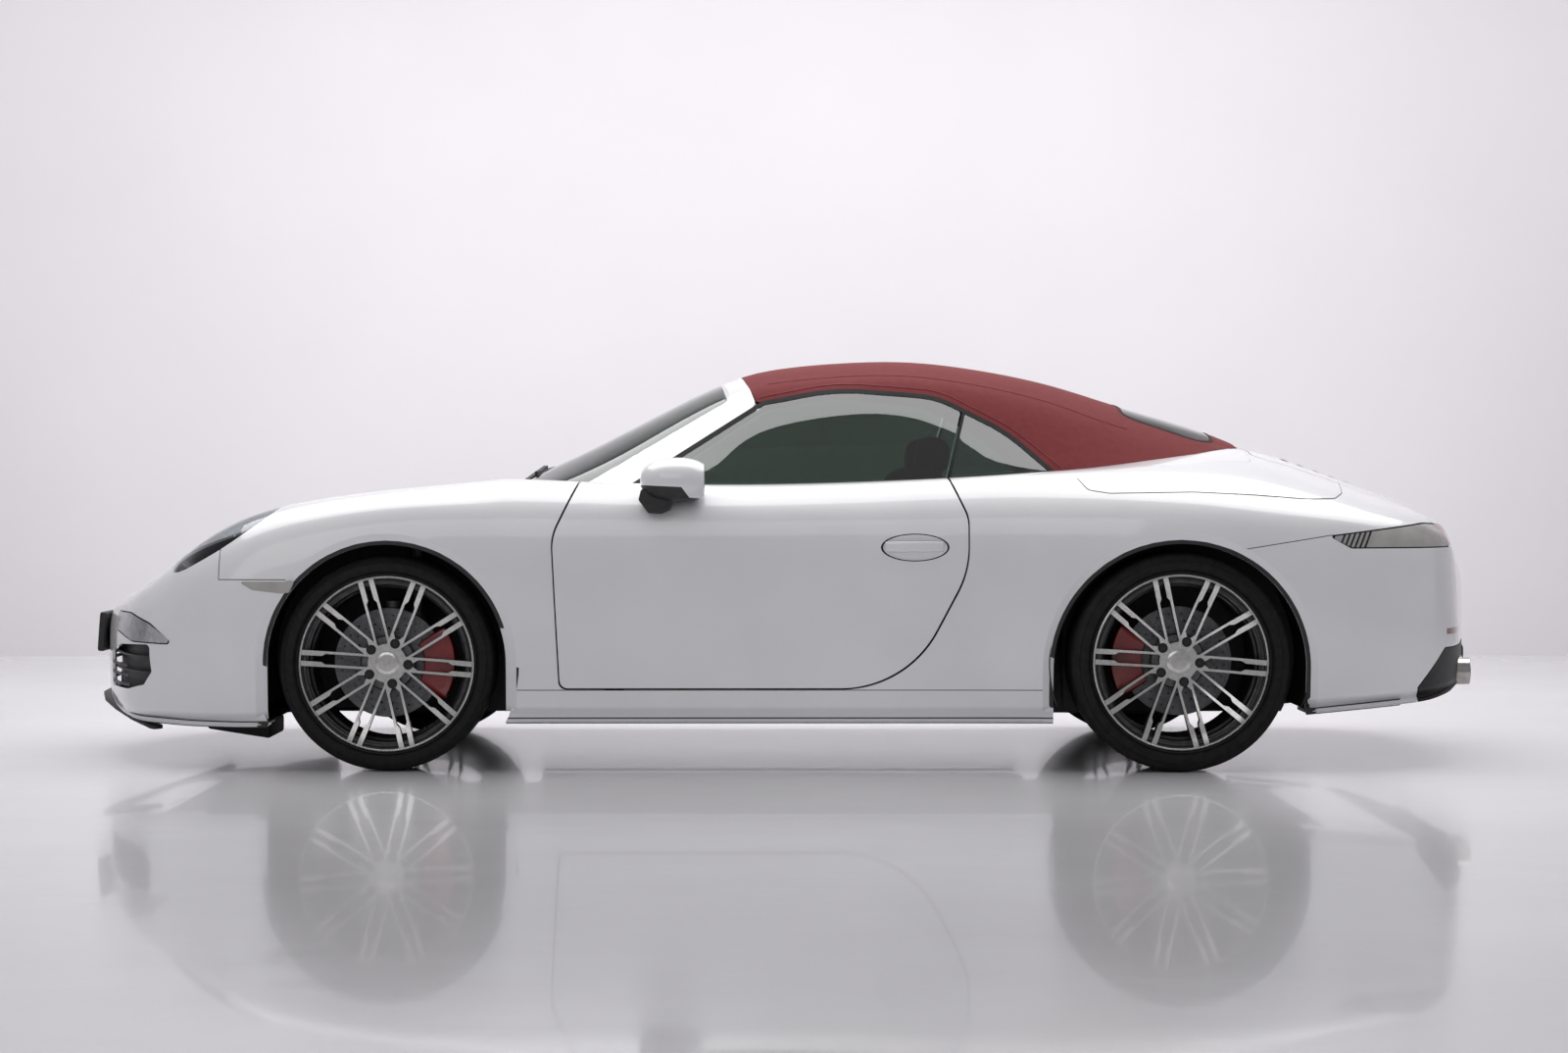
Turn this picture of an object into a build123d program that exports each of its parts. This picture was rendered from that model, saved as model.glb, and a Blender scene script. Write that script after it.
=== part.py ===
"""Two-door convertible sports car with a closed fabric top.

Millimetres. X runs to the rear, Y to the car's right, Z up. The origin is on the floor,
under the middle of the car's length. Every piece is its own solid in parts/NAME.step.
"""

from build123d import *
from collections import namedtuple
import math
import os

os.makedirs("parts", exist_ok=True)

# ---------------------------------------------------------------- driving dimensions
LENGTH = 4491
WHEELBASE = 2450
FRONT_OVERHANG = 1011
FRONT_AXLE_X = -LENGTH / 2 + FRONT_OVERHANG
REAR_AXLE_X = FRONT_AXLE_X + WHEELBASE

# one row for each axle: wheel centre, tyre, the arch cut in the skin and the wheelhouse behind it
Axle = namedtuple("Axle", "name x track tyre_radius tyre_width arch_radius house_radius house_inner")
FRONT = Axle("front", FRONT_AXLE_X, 1538, 332, 245, 385, 410, 440)
REAR = Axle("rear", REAR_AXLE_X, 1552, 338, 305, 388, 405, 590)
ARCH_LIFT = 12  # the arches are cut a little above the wheel centres

RIM_RADIUS = 271  # outer lip of a 20 inch rim
BARREL_RADIUS = 256  # inside of the tyre's bead
BARREL_WALL = 8
SPOKE_PAIRS = 10
SPOKE_SPREAD = 20  # from a pair's middle line to the middle of each of its two spokes
SPOKE_WIDTH = 7  # from the hub to the step, where each side grows by 4
SPOKE_STEP = 190
SPOKE_ANGLE = 68
HUB_RADIUS = 62
BOLT_CIRCLE = 130
BOLTS = 5
BOSS_RADIUS = 24
BOLT_HOLE_RADIUS = 12
DISC_RADIUS = 175
DISC_WIDTH = 36
KINGPIN_Y = 699

SKIN = 10  # thickness of the outer panels
SEAT_GAP = 0.6  # between a fixed piece and what carries it
SHUT_GAP = 6  # round a lid or door
HINGE_EDGE_GAP = 7  # in front of a door's swinging front edge
FAR = 3000  # long enough to cut right through the car

FLOOR_TOP = 168
FLOOR_UNDERSIDE = 150
UNDERCUT_Z = 200  # the panels turn no further under the car than this
UNDERTRAY = 8
TRAY_TOP = 160
DOOR_INNER_Y = 740
CABIN_Y = 725
CABIN_FRONT_X = -760
CABIN_REAR_X = 870
HINGE_X = -640
HINGE_Y = 878
HINGE_PIN_RADIUS = 4
HINGE_LUG_RADIUS = 8
HINGE_HEIGHTS = (560, 700)
POST_Y = 780
POST_REAR_X = HINGE_X + 18
POST_TOP = 800
SWING_RADIUS = 92  # swept by the door's front edge, with its clearance
HINGE_LUG_HEIGHT = 30

SIDES = {"left": -1, "right": 1}


# ---------------------------------------------------------------- lower body
# Corner points of half a cross-section, from the centre line out and down to the sill. A
# section is the closed outline through them, rounded at each corner.
Station = namedtuple("Station", "x top valley crest shoulder waist sill")
STATIONS = [
    Station(-LENGTH / 2, 440, (30, 438), (55, 425), (70, 400), (70, 340), (55, 300)),
    Station(-2222, 485, (110, 480), (180, 460), (215, 420), (220, 330), (200, 240)),
    Station(-2185, 510, (190, 503), (300, 485), (350, 430), (355, 320), (340, 190)),
    Station(-2125, 540, (290, 530), (460, 505), (525, 440), (540, 320), (520, 165)),
    Station(-2050, 585, (370, 573), (590, 552), (680, 470), (700, 330), (670, 150)),
    Station(-1960, 628, (400, 612), (650, 620), (775, 530), (795, 345), (755, 146)),
    Station(-1860, 655, (420, 637), (680, 705), (845, 610), (855, 365), (815, 142)),
    Station(-1760, 676, (435, 660), (695, 775), (882, 665), (888, 380), (850, 140)),
    Station(-1575, 715, (460, 708), (705, 845), (900, 740), (903, 400), (872, 140)),
    Station(-1235, 785, (500, 781), (745, 893), (918, 790), (902, 420), (868, 150)),
    Station(-950, 850, (520, 848), (765, 915), (910, 790), (894, 430), (862, 150)),
    Station(-780, 872, (560, 868), (775, 918), (905, 785), (893, 430), (862, 150)),
    Station(-200, 880, (600, 878), (800, 890), (905, 772), (892, 430), (858, 150)),
    Station(450, 900, (600, 895), (800, 910), (905, 775), (890, 430), (856, 150)),
    Station(850, 930, (560, 920), (790, 935), (928, 785), (905, 430), (866, 150)),
    Station(1215, 1000, (480, 985), (780, 925), (957, 800), (930, 450), (885, 150)),
    Station(1500, 1012, (440, 990), (770, 890), (950, 780), (932, 440), (890, 170)),
    Station(1750, 935, (420, 915), (730, 850), (912, 765), (918, 430), (880, 195)),
    Station(1950, 860, (400, 845), (690, 805), (850, 735), (875, 420), (840, 215)),
    Station(2040, 815, (380, 803), (640, 778), (775, 712), (805, 405), (770, 230)),
    Station(2101, 772, (340, 765), (560, 745), (655, 680), (700, 390), (670, 245)),
    Station(2150, 705, (260, 698), (420, 680), (500, 620), (540, 375), (510, 260)),
    Station(2200, 650, (160, 645), (260, 630), (300, 580), (320, 360), (300, 275)),
    Station(LENGTH / 2, 590, (60, 586), (95, 575), (110, 540), (115, 380), (100, 330)),
]
ROUND_SHARE = 0.49  # of a corner's shorter side, taken by its rounding
SILL_SHARE = 0.15


def corner_radii(points, shares):
    """Radius at each corner of a closed outline, from the share of the shorter side it takes."""
    radii = []
    count = len(points)
    for i in range(count):
        before = Vector(*points[i - 1]) - Vector(*points[i])
        after = Vector(*points[(i + 1) % count]) - Vector(*points[i])
        turn = math.radians(180 - before.get_angle(after))
        shorter = min(before.length, after.length)
        radii.append(shares[i] * shorter / math.tan(turn / 2))
    return radii


def lofted(sections, shares):
    """Ruled loft through closed outlines, each given as (x, points)."""
    with BuildPart() as mass:
        for x, points in sections:
            with BuildSketch(Plane.YZ.offset(x)):
                with BuildLine():
                    FilletPolyline(*points, radius=corner_radii(points, shares), close=True)
                make_face()
        loft(ruled=True)
    return mass.part


def lower_body(inset=0):
    """The closed lower body, shrunk by inset all round."""
    shares = [ROUND_SHARE] * 5 + [SILL_SHARE] * 2 + [ROUND_SHARE] * 4
    sections = []
    for station in STATIONS:
        x = station.x
        if station is STATIONS[0]:
            x += inset
        if station is STATIONS[-1]:
            x -= inset
        half = [
            (station.valley[0], station.valley[1] - inset),
            (station.crest[0] - 0.5 * inset, station.crest[1] - inset),
            (station.shoulder[0] - inset, station.shoulder[1] - 0.5 * inset),
            (station.waist[0] - inset, station.waist[1]),
            (station.sill[0] - inset, station.sill[1] + inset),
        ]
        mirrored = [(-y, z) for y, z in reversed(half)]
        sections.append((x, [(0, station.top - inset)] + half + mirrored))
    return lofted(sections, shares)


# ---------------------------------------------------------------- greenhouse
# Half outlines above the belt: centre height, two roof corners, and the belt.
Hoop = namedtuple("Hoop", "x top brow edge belt")
HOOPS = [
    Hoop(-905, 868, (300, 858), (530, 822), (600, 780)),
    Hoop(-700, 977, (330, 962), (565, 890), (650, 820)),
    Hoop(-450, 1104, (330, 1088), (560, 1005), (722, 850)),
    Hoop(-201, 1222, (320, 1208), (545, 1130), (740, 862)),
    Hoop(0, 1274, (320, 1258), (550, 1172), (748, 868)),
    Hoop(259, 1294, (320, 1278), (555, 1190), (752, 872)),
    Hoop(520, 1284, (320, 1268), (548, 1172), (750, 876)),
    Hoop(850, 1225, (310, 1208), (530, 1105), (730, 890)),
    Hoop(1147, 1134, (290, 1118), (500, 1020), (660, 900)),
    Hoop(1520, 1002, (260, 990), (440, 930), (560, 880)),
]
FOOT_Z = 700


def greenhouse(inset=0):
    """The closed upper body, shrunk by inset over the top and sides."""
    shares = [ROUND_SHARE] * 3 + [0.3] + [SILL_SHARE] * 2 + [0.3] + [ROUND_SHARE] * 2
    sections = []
    for hoop in HOOPS:
        half = [
            (hoop.brow[0], hoop.brow[1] - inset),
            (hoop.edge[0] - 0.7 * inset, hoop.edge[1] - 0.7 * inset),
            (hoop.belt[0] - 1.1 * inset, hoop.belt[1] - 0.3 * inset),
            (hoop.belt[0] - 1.1 * inset, FOOT_Z),
        ]
        mirrored = [(-y, z) for y, z in reversed(half)]
        sections.append((hoop.x, [(0, hoop.top - inset)] + half + mirrored))
    return lofted(sections, shares)


# ---------------------------------------------------------------- outlines
def side_prism(points, radii, near=0, far=FAR):
    """Side-view outline (x, z) cut through the left half, from |y| = near to far."""
    with BuildPart() as prism:
        with BuildSketch(Plane.XZ.offset(near)):
            with BuildLine():
                FilletPolyline(*points, radius=radii, close=True)
            make_face()
        extrude(amount=far - near)
    return prism.part


def plan_prism(half, radii, low=0, high=FAR):
    """Plan-view outline from half its points (x, y), mirrored, from z = low to high."""
    points = half + [(x, -y) for x, y in reversed(half)]
    with BuildPart() as prism:
        with BuildSketch(Plane.XY.offset(low)):
            with BuildLine():
                FilletPolyline(*points, radius=radii + list(reversed(radii)), close=True)
            make_face()
        extrude(amount=high - low)
    return prism.part


def block(x0, x1, y0, y1, z0, z1):
    """Box between two corners."""
    with BuildPart() as box:
        with Locations(((x0 + x1) / 2, (y0 + y1) / 2, (z0 + z1) / 2)):
            Box(x1 - x0, y1 - y0, z1 - z0)
    return box.part


def slab(x0, x1, z0, z1, y=FAR / 2):
    """Cutting block across the car, |y| up to y."""
    return block(x0, x1, -y, y, z0, z1)


def drum(x, z, radius, y0, y1):
    """Cylinder along Y."""
    with BuildPart() as cylinder:
        with BuildSketch(Plane.XZ.offset(-y1)):
            with Locations((x, z)):
                Circle(radius)
        extrude(amount=y1 - y0)
    return cylinder.part


def both(part):
    """A left-hand piece and its mirror image."""
    return Compound(children=[part, mirror(part, about=Plane.XZ)])


def save(part, name):
    """Write one piece, or one set of like pieces, to its STEP file."""
    solids = part.solids()
    shape = solids[0] if len(solids) == 1 else Compound(children=list(solids))
    shape.label = name
    export_step(shape, f"parts/{name}.step")
    print(f"{name:22s} {len(solids):2d} solid(s) {sum(s.volume for s in solids) / 1e6:9.2f} l  {shape.is_valid}")


def door_outline(grow=0, front=0):
    """Outline of the left door, grown all round and by a further amount at its front edge."""
    points = [
        (-600 - grow - front, 980),
        (-722 - grow - front, 720),
        (-698 - grow - front, 256 - grow),
        (370 + grow, 256 - grow),
        (562 + grow, 620),
        (562 + grow, 780),
        (470 + grow, 980),
    ]
    return points, [1, 160, 25, 400, 300, 120, 1]


outer = lower_body()
inner = lower_body(SKIN)
shell = outer - inner
top_outer = greenhouse()
core = lower_body(SKIN + SEAT_GAP)
middle = lower_body(SKIN / 2)
above = lower_body(-SEAT_GAP)
top_glass = top_outer - greenhouse(5)
cabin_mass = greenhouse(26)
top_frame = top_outer - cabin_mass


# ---------------------------------------------------------------- seams and openings
HOOD_PLAN = [(-2118, 250), (-2060, 440), (-1560, 545), (-830, 625), (-905, 300)]
HOOD_RADII = [150, 120, 800, 40, 300]
ENGINE_PLAN = [(1500, 470), (1990, 545), (2075, 440)]
ENGINE_RADII = [60, 60, 120]
TOP_LID_PLAN = [(1150, 300), (1120, 560), (885, 690), (905, 735), (1200, 690), (1482, 560)]
TOP_LID_RADII = [20, 60, 8, 8, 400, 40]
TOP_LID_OPENING = [(884.4, 690), (904, 735.6), (1200, 690.6), (1482.6, 560)]
BUMPER_SEAM_Z = 592
BUMPER_SEAM_X = -1800
REAR_SEAM_Z = 566
SKIRT_TOP = 250
REAR_SEAM_X = 2010
FENDER_END = -560
COWL_FRONT = -915
COWL_Y = 640
COWL_TOP = 812
FRONT_RAIL_X = -2080


def grown(plan, grow):
    """Plan outline moved outwards from its own middle by grow."""
    middle = (plan[0][0] + plan[-1][0]) / 2
    return [(x + math.copysign(grow, x - middle), y + grow) for x, y in plan]


def hood_prism(grow=0, low=300):
    return plan_prism(grown(HOOD_PLAN, grow), HOOD_RADII, low)


def engine_prism(grow=0, low=500):
    return plan_prism(grown(ENGINE_PLAN, grow), ENGINE_RADII, low)


def top_lid_prism():
    return plan_prism(TOP_LID_PLAN, TOP_LID_RADII, 700)


def door_cut():
    """Both door openings through the skin, the cabin sides, and the space the front edges swing in."""
    points, radii = door_outline(SHUT_GAP, HINGE_EDGE_GAP - SHUT_GAP)
    opening = side_prism(points, radii, near=POST_Y)
    deep = side_prism(points, radii, near=CABIN_Y - 20) - slab(-FAR, POST_REAR_X, 0, POST_TOP)
    with BuildPart() as swing:
        with BuildSketch(Plane.XY.offset(SKIRT_TOP)):
            with Locations((HINGE_X, -HINGE_Y)):
                Circle(SWING_RADIUS)
        extrude(amount=560)
    opening = opening + deep + (swing.part & middle)
    return opening + mirror(opening, about=Plane.XZ)


def wheelhouses(axle, grow=0):
    """Both wheelhouses of an axle as one cutting tool, with the arches through the skin."""
    house = drum(axle.x, axle.tyre_radius, axle.house_radius + grow, axle.house_inner - grow, 880)
    arch = drum(axle.x, axle.tyre_radius + ARCH_LIFT, axle.arch_radius, 860, 1100)
    below = block(
        axle.x - axle.arch_radius, axle.x + axle.arch_radius, axle.house_inner - grow, 1100, 0, axle.tyre_radius
    )
    tool = house + arch + below
    return tool + mirror(tool, about=Plane.XZ)


front_houses = wheelhouses(FRONT)
rear_houses = wheelhouses(REAR)
doors_open = door_cut()
hood_open = hood_prism(SHUT_GAP)
engine_open = engine_prism(SHUT_GAP) + slab(1483, 1520, 500, FAR, 470)


# ---------------------------------------------------------------- outer panels
def make_panels():
    """Split the outer skin into its panels where the real seams run."""
    skin = shell - front_houses
    skin = skin - rear_houses
    skin = skin - doors_open
    hood = skin & hood_prism()
    engine_lid = skin & engine_prism()
    skin = skin - hood_open
    skin = skin - engine_open
    top_lid = skin & top_lid_prism()
    skin = skin - plan_prism(TOP_LID_OPENING, [1, 8, 400, 40], 700)
    skin = skin - slab(COWL_FRONT, 0, 700, FAR, COWL_Y)
    skin = skin - slab(-1950, 1950, 0, UNDERCUT_Z, 780)
    skin = skin - cabin_mass

    half = SEAT_GAP / 2
    skirt_zone = slab(FRONT.x + 300, REAR.x - 300, 0, SKIRT_TOP - half)
    front_zone = slab(-FAR, FRONT.x, 0, BUMPER_SEAM_Z - half) + slab(-FAR, BUMPER_SEAM_X - half, 0, FAR)
    rear_zone = slab(REAR.x, FAR, 0, REAR_SEAM_Z - half) + slab(REAR_SEAM_X + half, FAR, 0, FAR)
    fender_zone = slab(BUMPER_SEAM_X + half, FRONT.x, BUMPER_SEAM_Z + half, FAR)
    fender_zone = fender_zone + slab(FRONT.x, FENDER_END, SKIRT_TOP + half, FAR)
    quarter_zone = slab(FENDER_END + 60, REAR.x, SKIRT_TOP + half, FAR)
    quarter_zone = quarter_zone + slab(REAR.x, REAR_SEAM_X - half, REAR_SEAM_Z + half, FAR)
    return {
        "front_lid": hood,
        "engine_lid": engine_lid,
        "top_compartment_lid": top_lid,
        "front_bumper": skin & front_zone,
        "side_skirts": skin & skirt_zone,
        "rear_bumper": skin & rear_zone,
        "front_fenders": skin & fender_zone,
        "quarters": skin & quarter_zone,
    }


def make_body(quarters):
    """Structure: floor, sills, bulkheads, posts and rails, with the rear quarter skins."""
    front = slab(CABIN_FRONT_X - 30, CABIN_FRONT_X, FLOOR_UNDERSIDE, POST_TOP, POST_Y)
    front = front + slab(CABIN_FRONT_X - 30, POST_REAR_X, FLOOR_UNDERSIDE, POST_TOP, POST_Y)
    front = front - slab(CABIN_FRONT_X, 0, FLOOR_TOP, FAR, CABIN_Y)
    front = front + slab(-880, CABIN_FRONT_X - 20, 720, COWL_TOP, 560)
    front = front + slab(FRONT_RAIL_X, CABIN_FRONT_X - 20, 380, 480, 430) - slab(-2050, -800, 300, 600, 380)
    floor = slab(-830, 870, FLOOR_UNDERSIDE, FLOOR_TOP, 860)
    floor = floor + slab(CABIN_FRONT_X, 880, FLOOR_UNDERSIDE, SKIRT_TOP - SEAT_GAP, 855)
    floor = floor - slab(CABIN_FRONT_X, 860, FLOOR_TOP, FAR, CABIN_Y)
    front = (front + floor) & core
    rear = slab(850, 880, FLOOR_UNDERSIDE, 905, 850)
    rear = rear + slab(575, 880, FLOOR_TOP, 860, 745) - slab(500, 850, FLOOR_TOP, FAR, CABIN_Y)
    rear = rear + slab(870, 2060, 400, 480, 575) - slab(880, 2020, 300, 600, 520)
    rear = rear & middle
    body = quarters + rear
    body = body + front
    body = body - front_houses
    body = body - rear_houses
    return body - doors_open


def make_door(skin):
    """Left door: outer skin over an inner box, with lugs on the hinge line."""
    points, radii = door_outline()
    panel = skin & side_prism(points, radii, near=DOOR_INNER_Y)
    box_points = [(HINGE_X + 25, 830), (HINGE_X + 25, 280), (380, 280), (530, 640), (530, 780), (480, 885)]
    box = middle & side_prism(box_points, [30, 20, 350, 200, 60, 10], near=DOOR_INNER_Y)
    door = panel + box
    for z in HINGE_HEIGHTS:
        door = door + hinge_lug(z)
        door = door - pin_at(z, HINGE_PIN_RADIUS + 0.3)
    return door - rear_relief()


def hinge_lug(z):
    """Lug that turns on a door hinge pin."""
    with BuildPart() as lug:
        with BuildSketch(Plane.XY.offset(z)):
            with Locations((HINGE_X, -HINGE_Y)):
                Circle(HINGE_LUG_RADIUS)
            with Locations((HINGE_X + 20, -HINGE_Y)):
                Rectangle(40, 2 * HINGE_LUG_RADIUS - 1)
        extrude(amount=HINGE_LUG_HEIGHT)
    return lug.part


def pin_at(z, radius):
    """Cylinder on the left door's hinge line, past both ends of the lug at z."""
    with BuildPart() as pin:
        with BuildSketch(Plane.XY.offset(z - 10)):
            with Locations((HINGE_X, -HINGE_Y)):
                Circle(radius)
        extrude(amount=HINGE_LUG_HEIGHT + 20)
    return pin.part


def rear_relief():
    """Wedge off the door's rear top edge, so that it swings clear of the quarter panel."""
    with BuildPart() as wedge:
        with BuildSketch(Plane.XY.offset(820)):
            with BuildLine():
                Polyline((492, -730), (514, -815), (600, -815), (600, -730), close=True)
            make_face()
        extrude(amount=200)
    return wedge.part


def make_hinges():
    """Left door's hinge pins, each held between two arms off the door post."""
    solids = []
    for z in HINGE_HEIGHTS:
        hinge = pin_at(z, HINGE_PIN_RADIUS)
        for low in (z - 10, z + HINGE_LUG_HEIGHT + 2):
            hinge = hinge + block(HINGE_X, HINGE_X + 12, -HINGE_Y, -POST_Y - SEAT_GAP, low, low + 8)
        solids.append(hinge)
    return Compound(children=solids)


LidHinge = namedtuple("LidHinge", "x z ys reach lug_x dip")
FRONT_LID_HINGE = LidHinge(-820, 835, (-480, 480), -1, -885, 0)
ENGINE_LID_HINGE = LidHinge(1455, 978, (-120, 120), 1, 1535, 48)
LID_LUG = 10
LID_ARM = 8
LID_PIN_RADIUS = 5


def lid_lugs(hinge, lid):
    """Add the lugs that carry a lid on its hinge line; each arm dips under the edge it swings past."""
    low = hinge.z - hinge.dip
    arm_points = [
        (hinge.x - 6 * hinge.reach, hinge.z - 6),
        (hinge.x + 30 * hinge.reach, low - LID_ARM),
        (hinge.lug_x, low - LID_ARM),
        (hinge.lug_x, low + LID_ARM),
        (hinge.x + 43 * hinge.reach, low + LID_ARM),
        (hinge.x + 6 * hinge.reach, hinge.z + 6),
    ]
    for y in hinge.ys:
        arm = side_prism(arm_points, [1] * len(arm_points), near=-y - 12, far=-y + 12)
        riser = block(
            min(hinge.lug_x, hinge.lug_x - 25 * hinge.reach),
            max(hinge.lug_x, hinge.lug_x - 25 * hinge.reach),
            y - 12,
            y + 12,
            low - LID_ARM,
            hinge.z + 70,
        )
        eye = drum(hinge.x, hinge.z, LID_LUG, y - 12, y + 12)
        bore = drum(hinge.x, hinge.z, LID_PIN_RADIUS + 0.3, y - 20, y + 20)
        lid = lid + (arm + (riser & middle) + eye) - bore
    return lid


def lid_pins(hinge):
    """Hinge pins between two cheeks each, seated on the structure beside them."""
    pins = []
    for y in hinge.ys:
        pin = drum(hinge.x, hinge.z, LID_PIN_RADIUS, y - 20, y + 20)
        for cheek in (y - 20, y + 14):
            if hinge.reach < 0:
                pin = pin + block(hinge.x - 8, hinge.x + 8, cheek, cheek + 6, COWL_TOP + 0.3, hinge.z + 6)
            else:
                pin = pin + (block(hinge.x - 8, hinge.x + 8, cheek, cheek + 6, hinge.z - 6, FAR) & core)
        pins.append(pin)
    return Compound(children=pins)


# ---------------------------------------------------------------- glass and roof
PILLAR = [(-745, 822), (-171, 1160), (-207, 1222), (-215, 1400), (-112, 1400), (-108, 1250), (-82, 1138)]
PILLAR = PILLAR + [(-549, 838), (-610, 780)]
PILLAR_RADII = [1, 30, 30, 1, 1, 30, 20, 40, 1]
SCREEN = [(-884, 700), (-760, 812), (-190, 1148), (-215, 1215), (-216, 1400), (-884, 1400)]
SCREEN_RADII = [1, 1, 1, 1, 1, 1]
ROOF = [(-111, 1400), (-106, 1250), (-80, 1146), (160, 1190), (480, 1165), (700, 1050), (885, 880)]
ROOF = ROOF + [(885, 600), (1478, 600), (1478, 1400)]
ROOF_RADII = [1, 30, 8, 700, 300, 500, 8, 1, 1, 1]
SIDE_GLASS = [(-640, 770), (-519, 848), (-66, 1137), (160, 1180), (480, 1156), (556, 1116), (488, 860)]
SIDE_GLASS = SIDE_GLASS + [(488, 700), (-640, 700)]
SIDE_GLASS_RADII = [1, 1, 20, 700, 60, 14, 10, 1, 1]
QUARTER = [(499, 860), (570, 1112), (697, 1044), (876, 880), (876, 700), (499, 700)]
QUARTER_RADII = [1, 10, 400, 10, 1, 1]
REAR_WINDOW_PLAN = [(1100, 330), (1380, 400)]
REAR_WINDOW_RADII = [50, 70]


def make_upper():
    """Cut the upper body into its glass, its windscreen frame and the closed fabric top."""
    frame_prism = full(PILLAR, PILLAR_RADII)
    frame = (top_frame & frame_prism) - above
    screen = (top_glass & full(SCREEN, SCREEN_RADII)) - above
    screen = screen - Pos(-0.5, 0, 0.5) * frame_prism
    roof = (top_frame & full(ROOF, ROOF_RADII)) - above
    roof = roof - plan_prism(grown(REAR_WINDOW_PLAN, SEAT_GAP), REAR_WINDOW_RADII, 800)
    back = top_glass & plan_prism(REAR_WINDOW_PLAN, REAR_WINDOW_RADII, 800)
    side = (top_glass & side_prism(SIDE_GLASS, SIDE_GLASS_RADII)) - above
    quarter = (top_glass & side_prism(QUARTER, QUARTER_RADII)) - above
    return frame, screen, roof, back, side, quarter


def full(points, radii):
    """Side-view outline cut right across the car."""
    return side_prism(points, radii, near=-FAR, far=FAR)


# ---------------------------------------------------------------- lamps, mirror, liners
LAMP_CENTRE = (-1735, -668, 690)
LAMP_AXIS = (-0.72, -0.22, 0.62)
LAMP_RADIUS = 128
LAMP_DEPTH = 110
TAIL_LIGHT = [(1671, 724), (1990, 762), (2300, 748), (2300, 692), (1745, 692)]
TAIL_LIGHT_RADII = [6, 100, 1, 1, 20]
DRL = [(-2300, 470), (-2075, 478), (-1990, 450), (-1915, 402), (-1925, 392), (-2060, 394), (-2120, 415)]
DRL = DRL + [(-2300, 440)]
DRL_RADII = [1, 60, 100, 6, 6, 20, 30, 1]
DRL_INNER_Y = 430
VALANCE_TOP = 335
VALANCE_X = 1990
PIPE_RADIUS = 42
PIPE_YS = (430, 535)
PIPE_Z = 290


def lamp_cylinder(grow=0):
    """Cylinder along the left headlight's axis, from outside the skin to the lamp's back."""
    with BuildPart() as tool:
        with BuildSketch(Plane(origin=LAMP_CENTRE, z_dir=LAMP_AXIS).offset(-LAMP_DEPTH)):
            Circle(LAMP_RADIUS + grow)
        extrude(amount=LAMP_DEPTH + 200)
    return tool.part


def make_liner(axle):
    """Left wheelhouse liner: a thin cup over the tyre, open below and inboard low down."""
    outside = axle.house_radius - SEAT_GAP
    liner = drum(axle.x, axle.tyre_radius, outside, -890, -axle.house_inner - SEAT_GAP)
    liner = liner - drum(axle.x, axle.tyre_radius, outside - 4, -900, -axle.house_inner - SEAT_GAP - 4)
    liner = liner - slab(-FAR, FAR, 0, LINER_BOTTOM)
    liner = liner - block(-FAR, FAR, -axle.house_inner - 6, 0, 0, LINER_WALL_BOTTOM)
    return liner & core


LINER_BOTTOM = 200
LINER_WALL_BOTTOM = 540


def make_mirror():
    """Left door mirror: rounded housing on an arm off the door's shoulder."""
    with BuildPart() as mirror_part:
        with Locations((-340, -935, 905)):
            Box(180, 108, 118)
        fillet(mirror_part.edges(), radius=34)
        with Locations((-400, -870, 862)):
            Box(60, 110, 40)
    return mirror_part.part - above


# ---------------------------------------------------------------- wheels
def make_tyre(axle):
    """Tyre section turned about the wheel's axis, hollow where the rim closes it."""
    half = axle.tyre_width / 2
    bead = half - BEAD_INSET
    r_out = axle.tyre_radius
    r_in = BARREL_RADIUS + 0.3
    outline = [(r_in, -bead), (r_in + 20, -bead), (r_in + 45, -half), (r_out - 20, -half), (r_out, -half + 22)]
    outline = outline + [(r, -y) for r, y in reversed(outline)]
    cavity = [(r_in - 5, -bead + 22), (r_out - TYRE_WALL, -half + 2 * TYRE_WALL)]
    cavity = cavity + [(r, -y) for r, y in reversed(cavity)]
    with BuildPart() as tyre:
        with BuildSketch(Plane.XY):
            with BuildLine():
                Polyline(*outline, close=True)
            make_face()
        revolve(axis=Axis.Y)
        with BuildSketch(Plane.XY):
            with BuildLine():
                Polyline(*cavity, close=True)
            make_face()
        revolve(axis=Axis.Y, mode=Mode.SUBTRACT)
    return tyre.part


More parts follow.
